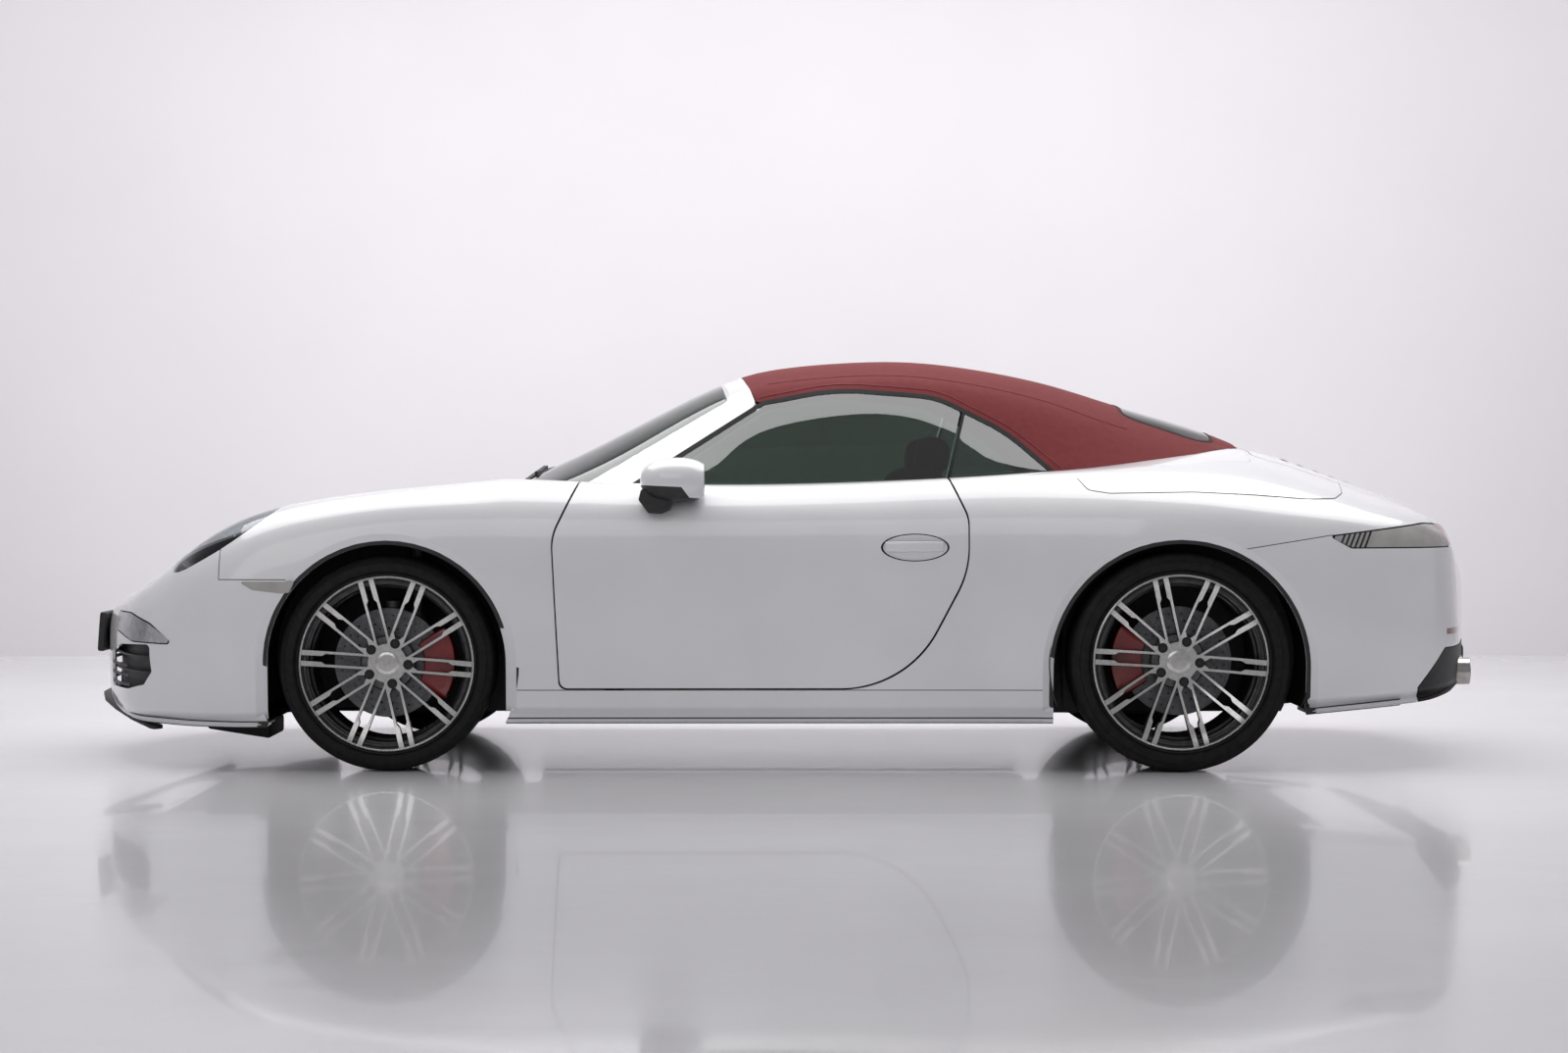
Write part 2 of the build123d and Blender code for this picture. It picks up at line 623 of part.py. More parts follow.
def make_rim(axle):
    """Rim: turned barrel and hub, with pairs of spokes cut from a dished disc."""
    bead = axle.tyre_width / 2 - BEAD_INSET
    flange = bead + 0.3
    lip = RIM_RADIUS
    seat = BARREL_RADIUS
    bore = seat - BARREL_WALL
    spoke_thin = SPOKE_SPREAD - SPOKE_WIDTH / 2
    spoke_thick = SPOKE_SPREAD + SPOKE_WIDTH / 2
    spoke = [(50, spoke_thin), (SPOKE_STEP - 4, spoke_thin), (SPOKE_STEP, spoke_thin - 4), (bore + 3, spoke_thin - 4)]
    spoke = spoke + [(bore + 3, spoke_thick + 4), (SPOKE_STEP, spoke_thick + 4), (SPOKE_STEP - 4, spoke_thick)]
    spoke = spoke + [(50, spoke_thick)]
    with BuildPart() as rim:
        with BuildSketch(Plane.XY):
            with BuildLine():
                Polyline(
                    (bore, -flange - 10),
                    (lip - 4, -flange - 10),
                    (lip - 4, -flange),
                    (seat, -flange),
                    (seat, flange),
                    (lip, flange),
                    (lip, flange + 12),
                    (lip - 7, flange + 12),
                    (bore, flange - 2),
                    close=True,
                )
            make_face()
        revolve(axis=Axis.Y)
    with BuildPart() as disc:
        with BuildSketch(Plane.XY):
            with BuildLine():
                Line((0, HUB_FACE), (85, HUB_FACE))
                Line((85, HUB_FACE), (bore + 4, flange - 32))
                Line((bore + 4, flange - 32), (bore + 4, flange - 4))
                Polyline((bore + 4, flange - 4), (150, SPOKE_DIP), (72, SPOKE_DIP - 6), (0, SPOKE_DIP - 6))
                Line((0, SPOKE_DIP - 6), (0, HUB_FACE))
            make_face()
        revolve(axis=Axis.Y)
    with BuildPart() as pattern:
        with BuildSketch(Plane.XZ.offset(-HUB_FACE - 80)):
            Circle(HUB_RADIUS)
            with PolarLocations(0, SPOKE_PAIRS, start_angle=SPOKE_ANGLE):
                for sign in (1, -1):
                    Polygon(*[(r, sign * y) for r, y in spoke], align=None)
            with PolarLocations(BOLT_CIRCLE / 2, BOLTS, start_angle=SPOKE_ANGLE):
                Circle(BOSS_RADIUS)
            with PolarLocations(BOLT_CIRCLE / 2, BOLTS, start_angle=SPOKE_ANGLE):
                Circle(BOLT_HOLE_RADIUS, mode=Mode.SUBTRACT)
        extrude(amount=160)
    spokes = disc.part & pattern.part
    return rim.part + spokes


BEAD_INSET = 24
TYRE_WALL = 12
HUB_FACE = 58
SPOKE_DIP = 84


def make_disc():
    """Ventilated brake disc with its hat, turned about the wheel's axis."""
    with BuildPart() as disc:
        with BuildSketch(Plane.XY):
            with BuildLine():
                Polyline(
                    (STUB_RADIUS + 0.3, HUB_FACE - 8),
                    (84, HUB_FACE - 8),
                    (84, DISC_WIDTH),
                    (84, 0),
                    (DISC_RADIUS, 0),
                    (DISC_RADIUS, DISC_WIDTH),
                    (92, DISC_WIDTH),
                    (92, HUB_FACE),
                    (STUB_RADIUS + 0.3, HUB_FACE),
                    close=True,
                )
            make_face()
        revolve(axis=Axis.Y)
    return disc.part


STUB_RADIUS = 34.7


def at_wheel(part, axle, side):
    """Put a wheel piece, made with its outboard face towards +Y, at its corner of the car."""
    turned = part if side > 0 else mirror(part, about=Plane.XZ)
    return Pos(axle.x, side * axle.track / 2, axle.tyre_radius) * turned


def make_calliper(direction):
    """Calliper over the disc; direction is +1 behind the axle, -1 ahead of it."""
    with BuildPart() as calliper:
        with BuildSketch(Plane.XZ.offset(30)):
            Circle(212)
            Circle(112, mode=Mode.SUBTRACT)
            with Locations((-direction * 212, 0)):
                Rectangle(424 + 2 * 130, 430, mode=Mode.SUBTRACT)
            with Locations((0, 230), (0, -230)):
                Rectangle(500, 240, mode=Mode.SUBTRACT)
        extrude(amount=-82)
        with BuildSketch(Plane.XZ.offset(6)):
            Circle(DISC_RADIUS + 6)
        extrude(amount=-DISC_WIDTH - 12, mode=Mode.SUBTRACT)
    return calliper.part


# ---------------------------------------------------------------- running gear
ARM_Z = (185, 205)
UPPER_ARM_Z = (500, 520)
PIN_RADIUS = 9
EYE_RADIUS = 24


def make_knuckle(side):
    """Front knuckle: upright on its two pins, stub axle and calliper lug."""
    axle = FRONT
    y = side * KINGPIN_Y
    with BuildPart() as knuckle:
        with Locations((axle.x, y, (ARM_Z[1] + UPPER_ARM_Z[0]) / 2)):
            Box(44, 36, UPPER_ARM_Z[0] - ARM_Z[1] - 10)
        with BuildSketch(Plane.XY.offset(ARM_Z[0])):
            with Locations((axle.x, y)):
                Circle(PIN_RADIUS)
        extrude(amount=UPPER_ARM_Z[1] - ARM_Z[0])
        with Locations((axle.x + 90, y, axle.tyre_radius)):
            Box(180, 34, 60)
    stub = drum(axle.x, axle.tyre_radius, STUB_RADIUS, KINGPIN_Y, axle.track / 2 + HUB_FACE - 1)
    if side < 0:
        stub = mirror(stub, about=Plane.XZ)
    lug = block(axle.x + 135, axle.x + 180, KINGPIN_Y, axle.track / 2 - 30 - SEAT_GAP / 2, 302, 362)
    if side < 0:
        lug = mirror(lug, about=Plane.XZ)
    return knuckle.part + stub + lug


def make_front_suspension():
    """Cross beam with both lower arms, coil-over legs and the upper arms' towers."""
    x = FRONT.x
    with BuildPart() as half:
        with BuildSketch(Plane.XY.offset(ARM_Z[0])):
            with BuildLine():
                Polyline((x - 170, -300), (x + 170, -300), (x + 12, -712), (x - 12, -712), close=True)
            make_face()
            with Locations((x, -KINGPIN_Y)):
                Circle(EYE_RADIUS)
            with Locations((x, -KINGPIN_Y)):
                Circle(PIN_RADIUS + 0.3, mode=Mode.SUBTRACT)
        extrude(amount=ARM_Z[1] - ARM_Z[0])
        with Locations((x, -200, 222)):
            Box(400, 402, 74)
        with Locations((x, -407, 290)):
            Box(120, 40, 178.8)
        with BuildSketch(Plane.XY.offset(ARM_Z[1] - 5)):
            with Locations((x + 60, -520)):
                Circle(28)
        extrude(amount=500)
    beam = half.part + mirror(half.part, about=Plane.XZ)
    with BuildPart() as upper:
        with BuildSketch(Plane.XY.offset(UPPER_ARM_Z[0])):
            with Locations((x, -550)):
                Rectangle(34, 300)
            with Locations((x, -KINGPIN_Y)):
                Circle(EYE_RADIUS)
                Circle(PIN_RADIUS + 0.3, mode=Mode.SUBTRACT)
        extrude(amount=UPPER_ARM_Z[1] - UPPER_ARM_Z[0])
        with Locations((x, -412, 500.3)):
            Box(70, 34, 39.4)
    return Compound(children=[beam, upper.part, mirror(upper.part, about=Plane.XZ)])


def make_rear_carrier():
    """Left rear hub carrier with its stub and calliper lug."""
    axle = REAR
    y = axle.track / 2
    carrier = block(axle.x - 26, axle.x + 26, y - 76, y - 40, 215, 480)
    carrier = carrier + drum(axle.x, axle.tyre_radius, STUB_RADIUS, y - 60, y + HUB_FACE - 1)
    carrier = carrier + block(axle.x - 180, axle.x, y - 76, y - 42, 308, 368)
    carrier = carrier + block(axle.x - 180, axle.x - 135, y - 60, y - 30.3, 308, 368)
    return mirror(carrier, about=Plane.XZ)


def make_rear_suspension():
    """Left rear arms, driveshaft and the bracket that hangs them from the body rail."""
    axle = REAR
    y = axle.track / 2 - 76.6
    arm = block(axle.x - 30, axle.x + 30, 240, y, 222, 246)
    arm = arm + block(axle.x - 60, axle.x + 60, 525, 570, 222, 399.4)
    arm = arm + block(axle.x - 26, axle.x + 26, 560, y, 360, 384)
    arm = arm + drum(axle.x, axle.tyre_radius, 15, 188, y)
    return mirror(arm, about=Plane.XZ)


def make_engine():
    """Engine and gearbox as one plain block in the tail, with its mount to the cross rail."""
    engine = block(1330, 1900, -330, 330, 300, 720)
    engine = engine + block(890, 1340, -180, 180, 260, 480)
    return engine + block(1890, 2020 - SEAT_GAP, -70, 70, 420, 470)


def make_exhaust():
    """Silencer behind the cross rail with two round tailpipes each side."""
    silencer = block(2060 + SEAT_GAP, 2120, -570, 570, 300, 420)
    with BuildPart() as pipes:
        with BuildSketch(Plane.YZ.offset(2080)):
            for y in PIPE_YS:
                with Locations((y, PIPE_Z), (-y, PIPE_Z)):
                    Circle(PIPE_RADIUS)
        extrude(amount=95)
    with BuildPart() as bores:
        with BuildSketch(Plane.YZ.offset(2130)):
            for y in PIPE_YS:
                with Locations((y, PIPE_Z), (-y, PIPE_Z)):
                    Circle(PIPE_RADIUS - 4)
        extrude(amount=60)
    return silencer + pipes.part - bores.part


def pipe_holes():
    with BuildPart() as holes:
        with BuildSketch(Plane.YZ.offset(2000)):
            for y in PIPE_YS:
                with Locations((y, PIPE_Z), (-y, PIPE_Z)):
                    Circle(PIPE_RADIUS + 6)
        extrude(amount=300)
    return holes.part


# ---------------------------------------------------------------- cabin
SEAT_Y = 370
SEAT_WIDTH = 480
WHEEL_CENTRE = (-330, -SEAT_Y, 800)
COLUMN_AXIS = (0.92, 0, 0.39)


def make_dashboard():
    """Dashboard across the cabin in front of the windscreen's foot."""
    points = [(-759.5, 690), (-759.5, 795), (-660, 850), (-480, 838), (-420, 770), (-450, 640), (-600, 560)]
    dash = side_prism(points, [1, 20, 40, 40, 40, 60, 60], near=-715, far=715)
    return dash - above_screen - column_cylinder(34.6)


def make_console():
    points = [(-430, 168.3), (-430, 520), (-100, 470), (330, 400), (330, 168.3)]
    return side_prism(points, [1, 60, 300, 30, 1], near=-105, far=105)


def make_front_seat():
    """Left front seat: cushion, leaning back and headrest in one rounded form."""
    points = [(-170, 310), (-180, 430), (230, 400), (400, 960), (470, 1040), (540, 1020), (480, 860)]
    points = points + [(340, 310)]
    half = SEAT_WIDTH / 2
    seat = side_prism(points, [30, 50, 60, 200, 40, 40, 200, 60], near=SEAT_Y - half, far=SEAT_Y + half)
    return chamfer(seat.edges().filter_by(Axis.Y, reverse=True), length=18)


def make_seat_base():
    return block(-120, 280, -SEAT_Y - 180, -SEAT_Y + 180, 168.3, 310)


def make_rear_seat():
    points = [(600, 168.3), (600, 420), (730, 400), (790, 830), (849, 830), (849, 168.3)]
    return side_prism(points, [1, 40, 40, 40, 20, 1], near=130, far=560)


def make_steering_wheel():
    """Rim, three spokes and boss, turned about the column."""
    plane = Plane(origin=WHEEL_CENTRE, z_dir=COLUMN_AXIS, x_dir=(0, 1, 0))
    with BuildPart() as wheel:
        with BuildSketch(plane):
            Circle(62)
            with Locations((95, 0), (-95, 0)):
                Rectangle(160, 34)
            with Locations((0, -95)):
                Rectangle(34, 160)
        extrude(amount=14, both=True)
        with BuildSketch(Plane(origin=WHEEL_CENTRE, z_dir=(0, 1, 0), x_dir=COLUMN_AXIS)):
            with Locations((0, 172)):
                RegularPolygon(16, 8)
        revolve(axis=Axis(WHEEL_CENTRE, COLUMN_AXIS))
        with BuildSketch(plane.offset(-50)):
            Circle(24)
        extrude(amount=50)
    return wheel.part


def column_cylinder(radius):
    """Steering column from the dashboard to the boss of the steering wheel."""
    plane = Plane(origin=WHEEL_CENTRE, z_dir=COLUMN_AXIS, x_dir=(0, 1, 0))
    with BuildPart() as column:
        with BuildSketch(plane.offset(-230)):
            Circle(radius)
        extrude(amount=179.7)
    return column.part


def intake_prisms(grow=0):
    """Openings of the three air intakes in the nose, through the bumper."""
    with BuildPart() as prisms:
        with BuildSketch(Plane.YZ.offset(-FAR)):
            with BuildLine():
                FilletPolyline(*CENTRE_INTAKE, radius=INTAKE_RADIUS, close=True)
            make_face()
            with BuildLine() as side:
                FilletPolyline(*SIDE_INTAKE, radius=INTAKE_RADIUS, close=True)
            make_face()
            mirror(make_face(side.edges(), mode=Mode.PRIVATE), about=Plane.YZ)
            offset(amount=grow)
        extrude(amount=FAR - INTAKE_DEPTH)
    return prisms.part


def make_intake_slats():
    """Rows of slats across the air intakes, set back from the bumper's surface."""
    rows = [slab(-FAR, -INTAKE_DEPTH, z, z + SLAT_HEIGHT) for z in SLAT_ROWS]
    slats = (middle - inner) & intake_prisms(-SEAT_GAP / 2)
    return slats & Compound(children=rows)


def deck_slots():
    """Cooling slots across the engine lid."""
    with BuildPart() as slots:
        with BuildSketch(Plane.XY.offset(700)):
            with Locations((DECK_SLOT_X, 0)):
                with GridLocations(DECK_SLOT_STEP, 1, DECK_SLOTS, 1):
                    SlotOverall(DECK_SLOT_LENGTH, DECK_SLOT_WIDTH, rotation=90)
        extrude(amount=FAR)
    return slots.part


def make_luggage_tub():
    """Open tub for luggage under the front lid, between the body's rails."""
    with BuildPart() as tub:
        with BuildSketch(Plane.XY.offset(TUB_FLOOR)):
            with Locations(((TUB_FRONT + TUB_REAR) / 2, 0)):
                Rectangle(TUB_REAR - TUB_FRONT, 2 * (FRONT_RAIL_Y - SEAT_GAP))
        extrude(amount=TUB_TOP - TUB_FLOOR)
        offset(amount=-TUB_WALL, openings=tub.faces().sort_by(Axis.Z)[-1])
    return tub.part


CENTRE_INTAKE = [(-250, 225), (-270, 320), (270, 320), (250, 225)]
SIDE_INTAKE = [(350, 230), (350, 345), (600, 355), (630, 250), (600, 225)]
INTAKE_RADIUS = 14
INTAKE_DEPTH = 1950
SLAT_ROWS = (246, 276, 306)
SLAT_HEIGHT = 10
DECK_SLOT_X = 1720
DECK_SLOT_STEP = 50
DECK_SLOTS = 5
DECK_SLOT_LENGTH = 760
DECK_SLOT_WIDTH = 20
TUB_FRONT = -1880
TUB_REAR = -1000
TUB_FLOOR = 320
TUB_TOP = 600
TUB_WALL = 4
FRONT_RAIL_Y = 380


def make_underbody():
    """Flat tray under the floor and nose."""
    with BuildPart() as tray:
        with BuildSketch(Plane.XY.offset(TRAY_TOP - UNDERTRAY)):
            with Locations((45, 0)):
                Rectangle(1590, 1400)
            with Locations((-1297.5, 0)):
                Rectangle(1295, 800)
        extrude(amount=UNDERTRAY)
    return tray.part


def make_wipers():
    """Parked wipers on their spindles in the cowl."""
    solids = []
    for y in (-350, 60):
        with BuildPart() as wiper:
            with BuildSketch(Plane.XY.offset(COWL_TOP + 0.3)):
                with Locations((-845, y)):
                    Circle(11)
            extrude(amount=22)
            with BuildSketch(Plane.XY.offset(COWL_TOP + 12)):
                with Locations((-845, y + 180)):
                    Rectangle(16, 380)
            extrude(amount=10)
        solids.append(wiper.part)
    return Compound(children=solids)


if __name__ == "__main__":
    panels = make_panels()
    quarters = panels.pop("quarters")
    body = make_body(quarters)
    lamp_hole = both(lamp_cylinder(SEAT_GAP))
    for name in ("front_bumper", "front_fenders"):
        panels[name] = panels[name] - lamp_hole
    panels["front_lid"] = panels["front_lid"] - both(lamp_cylinder(SHUT_GAP))
    tail_hole = full(TAIL_LIGHT, TAIL_LIGHT_RADII)
    tail_lights = (shell & tail_hole) - engine_open
    body = body - tail_hole
    bumper, spoiler = (panels["rear_bumper"] - tail_hole).solids().sort_by(Axis.Z)
    panels["rear_spoiler"] = spoiler
    valance_zone = slab(VALANCE_X, FAR, 0, VALANCE_TOP)
    panels["rear_bumper"] = bumper - slab(VALANCE_X - SEAT_GAP, FAR, 0, VALANCE_TOP + SEAT_GAP)
    panels["rear_valance"] = (bumper & valance_zone) - pipe_holes()
    drl = side_prism(DRL, DRL_RADII, near=DRL_INNER_Y)
    panels["front_light_units"] = shell & both(drl)
    panels["front_bumper"] = panels["front_bumper"] - both(drl) - intake_prisms()
    panels["engine_lid"] = panels["engine_lid"] - deck_slots()
    panels["front_lid"] = lid_lugs(FRONT_LID_HINGE, panels["front_lid"])
    panels["engine_lid"] = lid_lugs(ENGINE_LID_HINGE, panels["engine_lid"])
    for name, part in panels.items():
        save(part, name)
    save(Compound(children=[lid_pins(FRONT_LID_HINGE), lid_pins(ENGINE_LID_HINGE)]), "lid_hinges")
    save(body, "body_shell")
    door = make_door(shell)
    save(door, "door_left")
    save(mirror(door, about=Plane.XZ), "door_right")
    save(both(make_hinges()), "door_hinges")
    frame, screen, roof, back, side, quarter = make_upper()
    above_screen = top_outer - greenhouse(40) + slab(-905, 0, 1300, 1400)
    save(frame, "windscreen_frame")
    save(screen, "windscreen")
    save(roof, "soft_top")
    save(back, "rear_window")
    save(side, "door_glass_left")
    save(mirror(side, about=Plane.XZ), "door_glass_right")
    save(both(quarter), "quarter_windows")
    save(tail_lights, "tail_lights")
    lamp = (outer & lamp_cylinder()) - front_houses
    save(both(lamp), "headlights")
    save(Compound(children=[both(make_liner(FRONT)), both(make_liner(REAR))]), "wheel_arch_liners")
    side_mirror = make_mirror()
    save(side_mirror, "mirror_left")
    save(mirror(side_mirror, about=Plane.XZ), "mirror_right")
    for axle in (FRONT, REAR):
        tyre = make_tyre(axle)
        rim = make_rim(axle)
        disc = make_disc()
        for side_name, side_sign in SIDES.items():
            place = f"{axle.name}_{side_name}"
            save(at_wheel(tyre, axle, side_sign), f"tyre_{place}")
            save(at_wheel(rim, axle, side_sign), f"rim_{place}")
            save(at_wheel(disc, axle, side_sign), f"brake_disc_{place}")
    for side_name, side_sign in SIDES.items():
        save(make_knuckle(side_sign), f"knuckle_{side_name}")
        save(at_wheel(make_calliper(1), FRONT, side_sign), f"front_calliper_{side_name}")
    save(both(at_wheel(make_calliper(-1), REAR, -1)), "rear_callipers")
    save(make_front_suspension(), "front_suspension")
    save(both(make_rear_carrier()), "rear_hub_carriers")
    save(both(make_rear_suspension()), "rear_suspension")
    save(make_engine(), "engine_block")
    save(make_exhaust(), "exhaust")
    save(make_dashboard(), "dashboard")
    save(make_console(), "centre_console")
    save(both(make_front_seat()), "front_seats")
    save(both(make_seat_base()), "seat_bases")
    save(both(make_rear_seat()), "rear_seats")
    save(make_steering_wheel(), "steering_wheel")
    save(column_cylinder(34), "steering_column")
    save(make_underbody(), "underbody")
    save(make_intake_slats(), "intake_grilles")
    save(make_luggage_tub(), "luggage_tub")
    save(make_wipers(), "wipers")
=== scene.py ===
import bpy
import math
from collections import namedtuple
from mathutils import Vector, Matrix


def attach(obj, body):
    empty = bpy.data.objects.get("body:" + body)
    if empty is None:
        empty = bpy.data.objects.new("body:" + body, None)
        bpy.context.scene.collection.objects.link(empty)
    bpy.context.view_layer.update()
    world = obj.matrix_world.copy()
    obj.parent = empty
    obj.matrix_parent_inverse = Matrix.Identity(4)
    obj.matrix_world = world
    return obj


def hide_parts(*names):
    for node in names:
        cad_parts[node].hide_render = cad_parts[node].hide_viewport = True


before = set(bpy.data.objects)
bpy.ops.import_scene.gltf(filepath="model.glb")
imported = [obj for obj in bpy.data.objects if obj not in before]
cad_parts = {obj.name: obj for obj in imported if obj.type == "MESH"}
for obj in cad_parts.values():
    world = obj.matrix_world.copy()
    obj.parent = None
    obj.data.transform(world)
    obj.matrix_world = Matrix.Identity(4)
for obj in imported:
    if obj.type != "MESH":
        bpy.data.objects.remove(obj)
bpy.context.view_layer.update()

# sizes are in millimetres, x to the rear, y to the car's right and z up, unless a comment says otherwise
MM = 0.001
LENGTH = 4491
FRONT_X = -1234.5
REAR_X = 1215.5
FAR = 3000  # outside the car
LEFT, RIGHT = -1, 1

# ------------------------------------------------------------------ working tools


def deselect():
    """Leave object mode with nothing selected."""
    if bpy.context.object and bpy.context.object.mode != "OBJECT":
        bpy.ops.object.mode_set(mode="OBJECT")
    bpy.ops.object.select_all(action="DESELECT")


def activate(obj):
    deselect()
    obj.select_set(True)
    bpy.context.view_layer.objects.active = obj


def named(obj, name):
    obj.name = name
    obj.data.name = name
    return obj


def copy_of(obj, name):
    twin = obj.copy()
    twin.data = obj.data.copy()
    bpy.context.collection.objects.link(twin)
    return named(twin, name)


def discard(*objects):
    for obj in objects:
        bpy.data.objects.remove(obj, do_unlink=True)


def apply_modifier(obj, kind, **settings):
    """Add one modifier, set it up and apply it."""
    activate(obj)
    modifier = obj.modifiers.new(kind.title(), kind)
    for key, value in settings.items():
        setattr(modifier, key, value)
    bpy.ops.object.modifier_apply(modifier=modifier.name)
    return obj


def offset(obj, distance, name):
    """Copy of a closed solid, grown outwards by a distance."""
    return apply_modifier(copy_of(obj, name), "DISPLACE", strength=distance * MM, mid_level=0)


def boolean(obj, tool, operation, keep=False):
    """Cut, join or intersect a piece with a tool; the tool is used up unless it is kept."""
    apply_modifier(obj, "BOOLEAN", operation=operation, object=tool, solver="MANIFOLD")
    if not keep:
        discard(tool)
    return obj


def cut(obj, *tools, keep=False):
    for tool in tools:
        boolean(obj, tool, "DIFFERENCE", keep)
    return obj


def meet(obj, tool):
    return boolean(obj, tool, "INTERSECT")


def meeting(skin, tool):
    """The part of a skin inside a tool, as a new piece; the skin stays."""
    return meet(copy_of(skin, "part"), tool)


def merge(tools, name):
    """One solid out of tools that overlap."""
    for tool in tools[1:]:
        boolean(tools[0], tool, "UNION")
    return named(tools[0], name)


def join(objects, name):
    activate(objects[0])
    for obj in objects:
        obj.select_set(True)
    bpy.ops.object.join()
    return named(bpy.context.object, name)


def smooth(obj, angle=32):
    activate(obj)
    bpy.ops.object.shade_smooth_by_angle(angle=math.radians(angle))
    return obj


def select_all():
    bpy.ops.mesh.select_all(action="SELECT")


def edited(obj, *steps):
    """Run mesh operators on the whole of a piece."""
    activate(obj)
    bpy.ops.object.mode_set(mode="EDIT")
    select_all()
    for step in steps:
        step()
    bpy.ops.object.mode_set(mode="OBJECT")
    return obj


def fix_normals(obj):
    """Merge doubles and point every face outwards."""
    return edited(
        obj, lambda: bpy.ops.mesh.remove_doubles(threshold=0.00002), bpy.ops.mesh.normals_make_consistent
    )


def mirrored(obj, name):
    """The same piece on the other side of the car."""
    return edited(
        copy_of(obj, name),
        lambda: bpy.ops.transform.resize(value=(1, -1, 1), center_override=(0, 0, 0)),
        bpy.ops.mesh.flip_normals,
    )


def pair(obj):
    """A left piece and its mirror image as one object."""
    return join([obj, mirrored(obj, "twin")], "pair")


def rounded(points, radii, step=6):
    """Closed outline with its corners rounded, as a list of points."""
    outline = []
    count = len(points)
    for i, (corner, radius) in enumerate(zip(points, radii)):
        here = Vector(corner)
        to_before = Vector(points[i - 1]) - here
        to_after = Vector(points[(i + 1) % count]) - here
        half = to_before.angle(to_after) / 2
        if radius < 0.5 or half > math.radians(89.5):
            outline.append(here)
            continue
        reach = min(radius / math.tan(half), 0.49 * to_before.length, 0.49 * to_after.length)
        radius = reach * math.tan(half)
        centre = here + (to_before.normalized() + to_after.normalized()).normalized() * (radius / math.sin(half))
        start = here + to_before.normalized() * reach - centre
        end = here + to_after.normalized() * reach - centre
        turn = math.atan2(start.cross(end), start.dot(end))
        steps = max(2, min(40, int(radius * abs(turn) / step) + 2))
        for j in range(steps + 1):
            angle = turn * j / steps
            c, s = math.cos(angle), math.sin(angle)
            outline.append(centre + Vector((c * start.x - s * start.y, s * start.x + c * start.y)))
    return outline


def primitive(kind, name, **settings):
    """One of Blender's own shapes."""
    deselect()
    getattr(bpy.ops.mesh, f"primitive_{kind}_add")(**settings)
    return named(bpy.context.object, name)


def placed(obj, place):
    """Put each vertex of a shape where place says."""
    for vertex in obj.data.vertices:
        vertex.co = Vector(place(vertex.co.copy())) * MM
    return obj


def prism(outline, to_3d, along):
    """Solid from a closed outline, placed by to_3d and extruded along a vector."""
    obj = primitive("circle", "prism", vertices=len(outline), fill_type="NGON")
    for vertex, point in zip(obj.data.vertices, outline):
        vertex.co = Vector(to_3d(point)) * MM
    return edited(
        obj,
        lambda: bpy.ops.mesh.extrude_region_move(TRANSFORM_OT_translate={"value": Vector(along) * MM}),
        select_all,
        bpy.ops.mesh.normals_make_consistent,
    )


def side_prism(points, radii, near=-FAR, far=FAR):
    """Side-view outline (x, z) through the left half, from |y| = near to far."""
    return prism(rounded(points, radii), lambda p: (p[0], -near, p[1]), (0, near - far, 0))


def plan_prism(half, radii, low=0, high=FAR):
    """Plan-view outline from half its points (x, y), mirrored, from z = low to high."""
    points = half + [(x, -y) for x, y in reversed(half)]
    return prism(rounded(points, radii + radii[::-1]), lambda p: (p[0], p[1], low), (0, 0, high - low))


def strip_prism(path, radii, half, near=300, far=FAR):
    """Tool along an open side-view path, at half its width each side, through the left half of the car."""
    points = [Vector(p) for p in rounded(path, radii)]
    upper, lower = [], []
    for i, here in enumerate(points):
        ahead = points[min(i + 1, len(points) - 1)] - points[max(i - 1, 0)]
        aside = Vector((-ahead.y, ahead.x)).normalized() * half
        upper.append(here + aside)
        lower.append(here - aside)
    return prism(upper + lower[::-1], lambda p: (p[0], -near, p[1]), (0, near - far, 0))


def block(x0, x1, y0, y1, z0, z1):
    return placed(primitive("cube", "block", size=1), lambda c: (
        x0 if c.x < 0 else x1,
        y0 if c.y < 0 else y1,
        z0 if c.z < 0 else z1,
    ))


def drum(x, z, radius, y0, y1, vertices=96):
    """Cylinder along Y."""
    return placed(
        primitive("cylinder", "drum", vertices=vertices, radius=1, depth=1),
        lambda c: (x + radius * c.x, y1 if c.z > 0 else y0, z - radius * c.y),
    )


def tilted_drum(centre, axis, radius, back, front, vertices=96):
    """Cylinder along any axis, from back to front of its centre."""
    turn = Vector(axis).to_track_quat("Z", "Y")
    return placed(
        primitive("cylinder", "tilted", vertices=vertices, radius=1, depth=1),
        lambda c: Vector(centre) + turn @ Vector((radius * c.x, radius * c.y, front if c.z > 0 else back)),
    )


def bar(start, end, width, height):
    """Square bar between two points, its height upwards."""
    along = Vector(end) - Vector(start)
    turn = along.to_track_quat("X", "Z")
    return placed(
        primitive("cube", "bar", size=1),
        lambda c: Vector(start) + turn @ Vector((along.length * (c.x + 0.5), width * c.y, height * c.z)),
    )


def pebble(centre, radii, power=1.0, segments=48):
    """Rounded lump; a power under 1 makes it squarer."""
    return placed(
        primitive("uv_sphere", "pebble", segments=segments, ring_count=segments // 2, radius=1),
        lambda c: Vector(centre) + Vector([math.copysign(abs(v) ** power, v) * r for v, r in zip(c, radii)]),
    )


def lathe(profile, steps=96):
    """Turn a closed profile of (radius, y) about the Y axis."""
    obj = primitive("circle", "lathe", vertices=len(profile), fill_type="NOTHING")
    for vertex, (radius, y) in zip(obj.data.vertices, profile):
        vertex.co = Vector((radius, y, 0)) * MM
    spin = {"steps": steps, "angle": 2 * math.pi, "center": (0, 0, 0), "axis": (0, 1, 0)}
    return fix_normals(edited(obj, lambda: bpy.ops.mesh.spin(**spin)))


def bevelled(obj, width, segments=3, angle=35):
    return apply_modifier(
        obj, "BEVEL", width=width * MM, segments=segments, limit_method="ANGLE", angle_limit=math.radians(angle)
    )


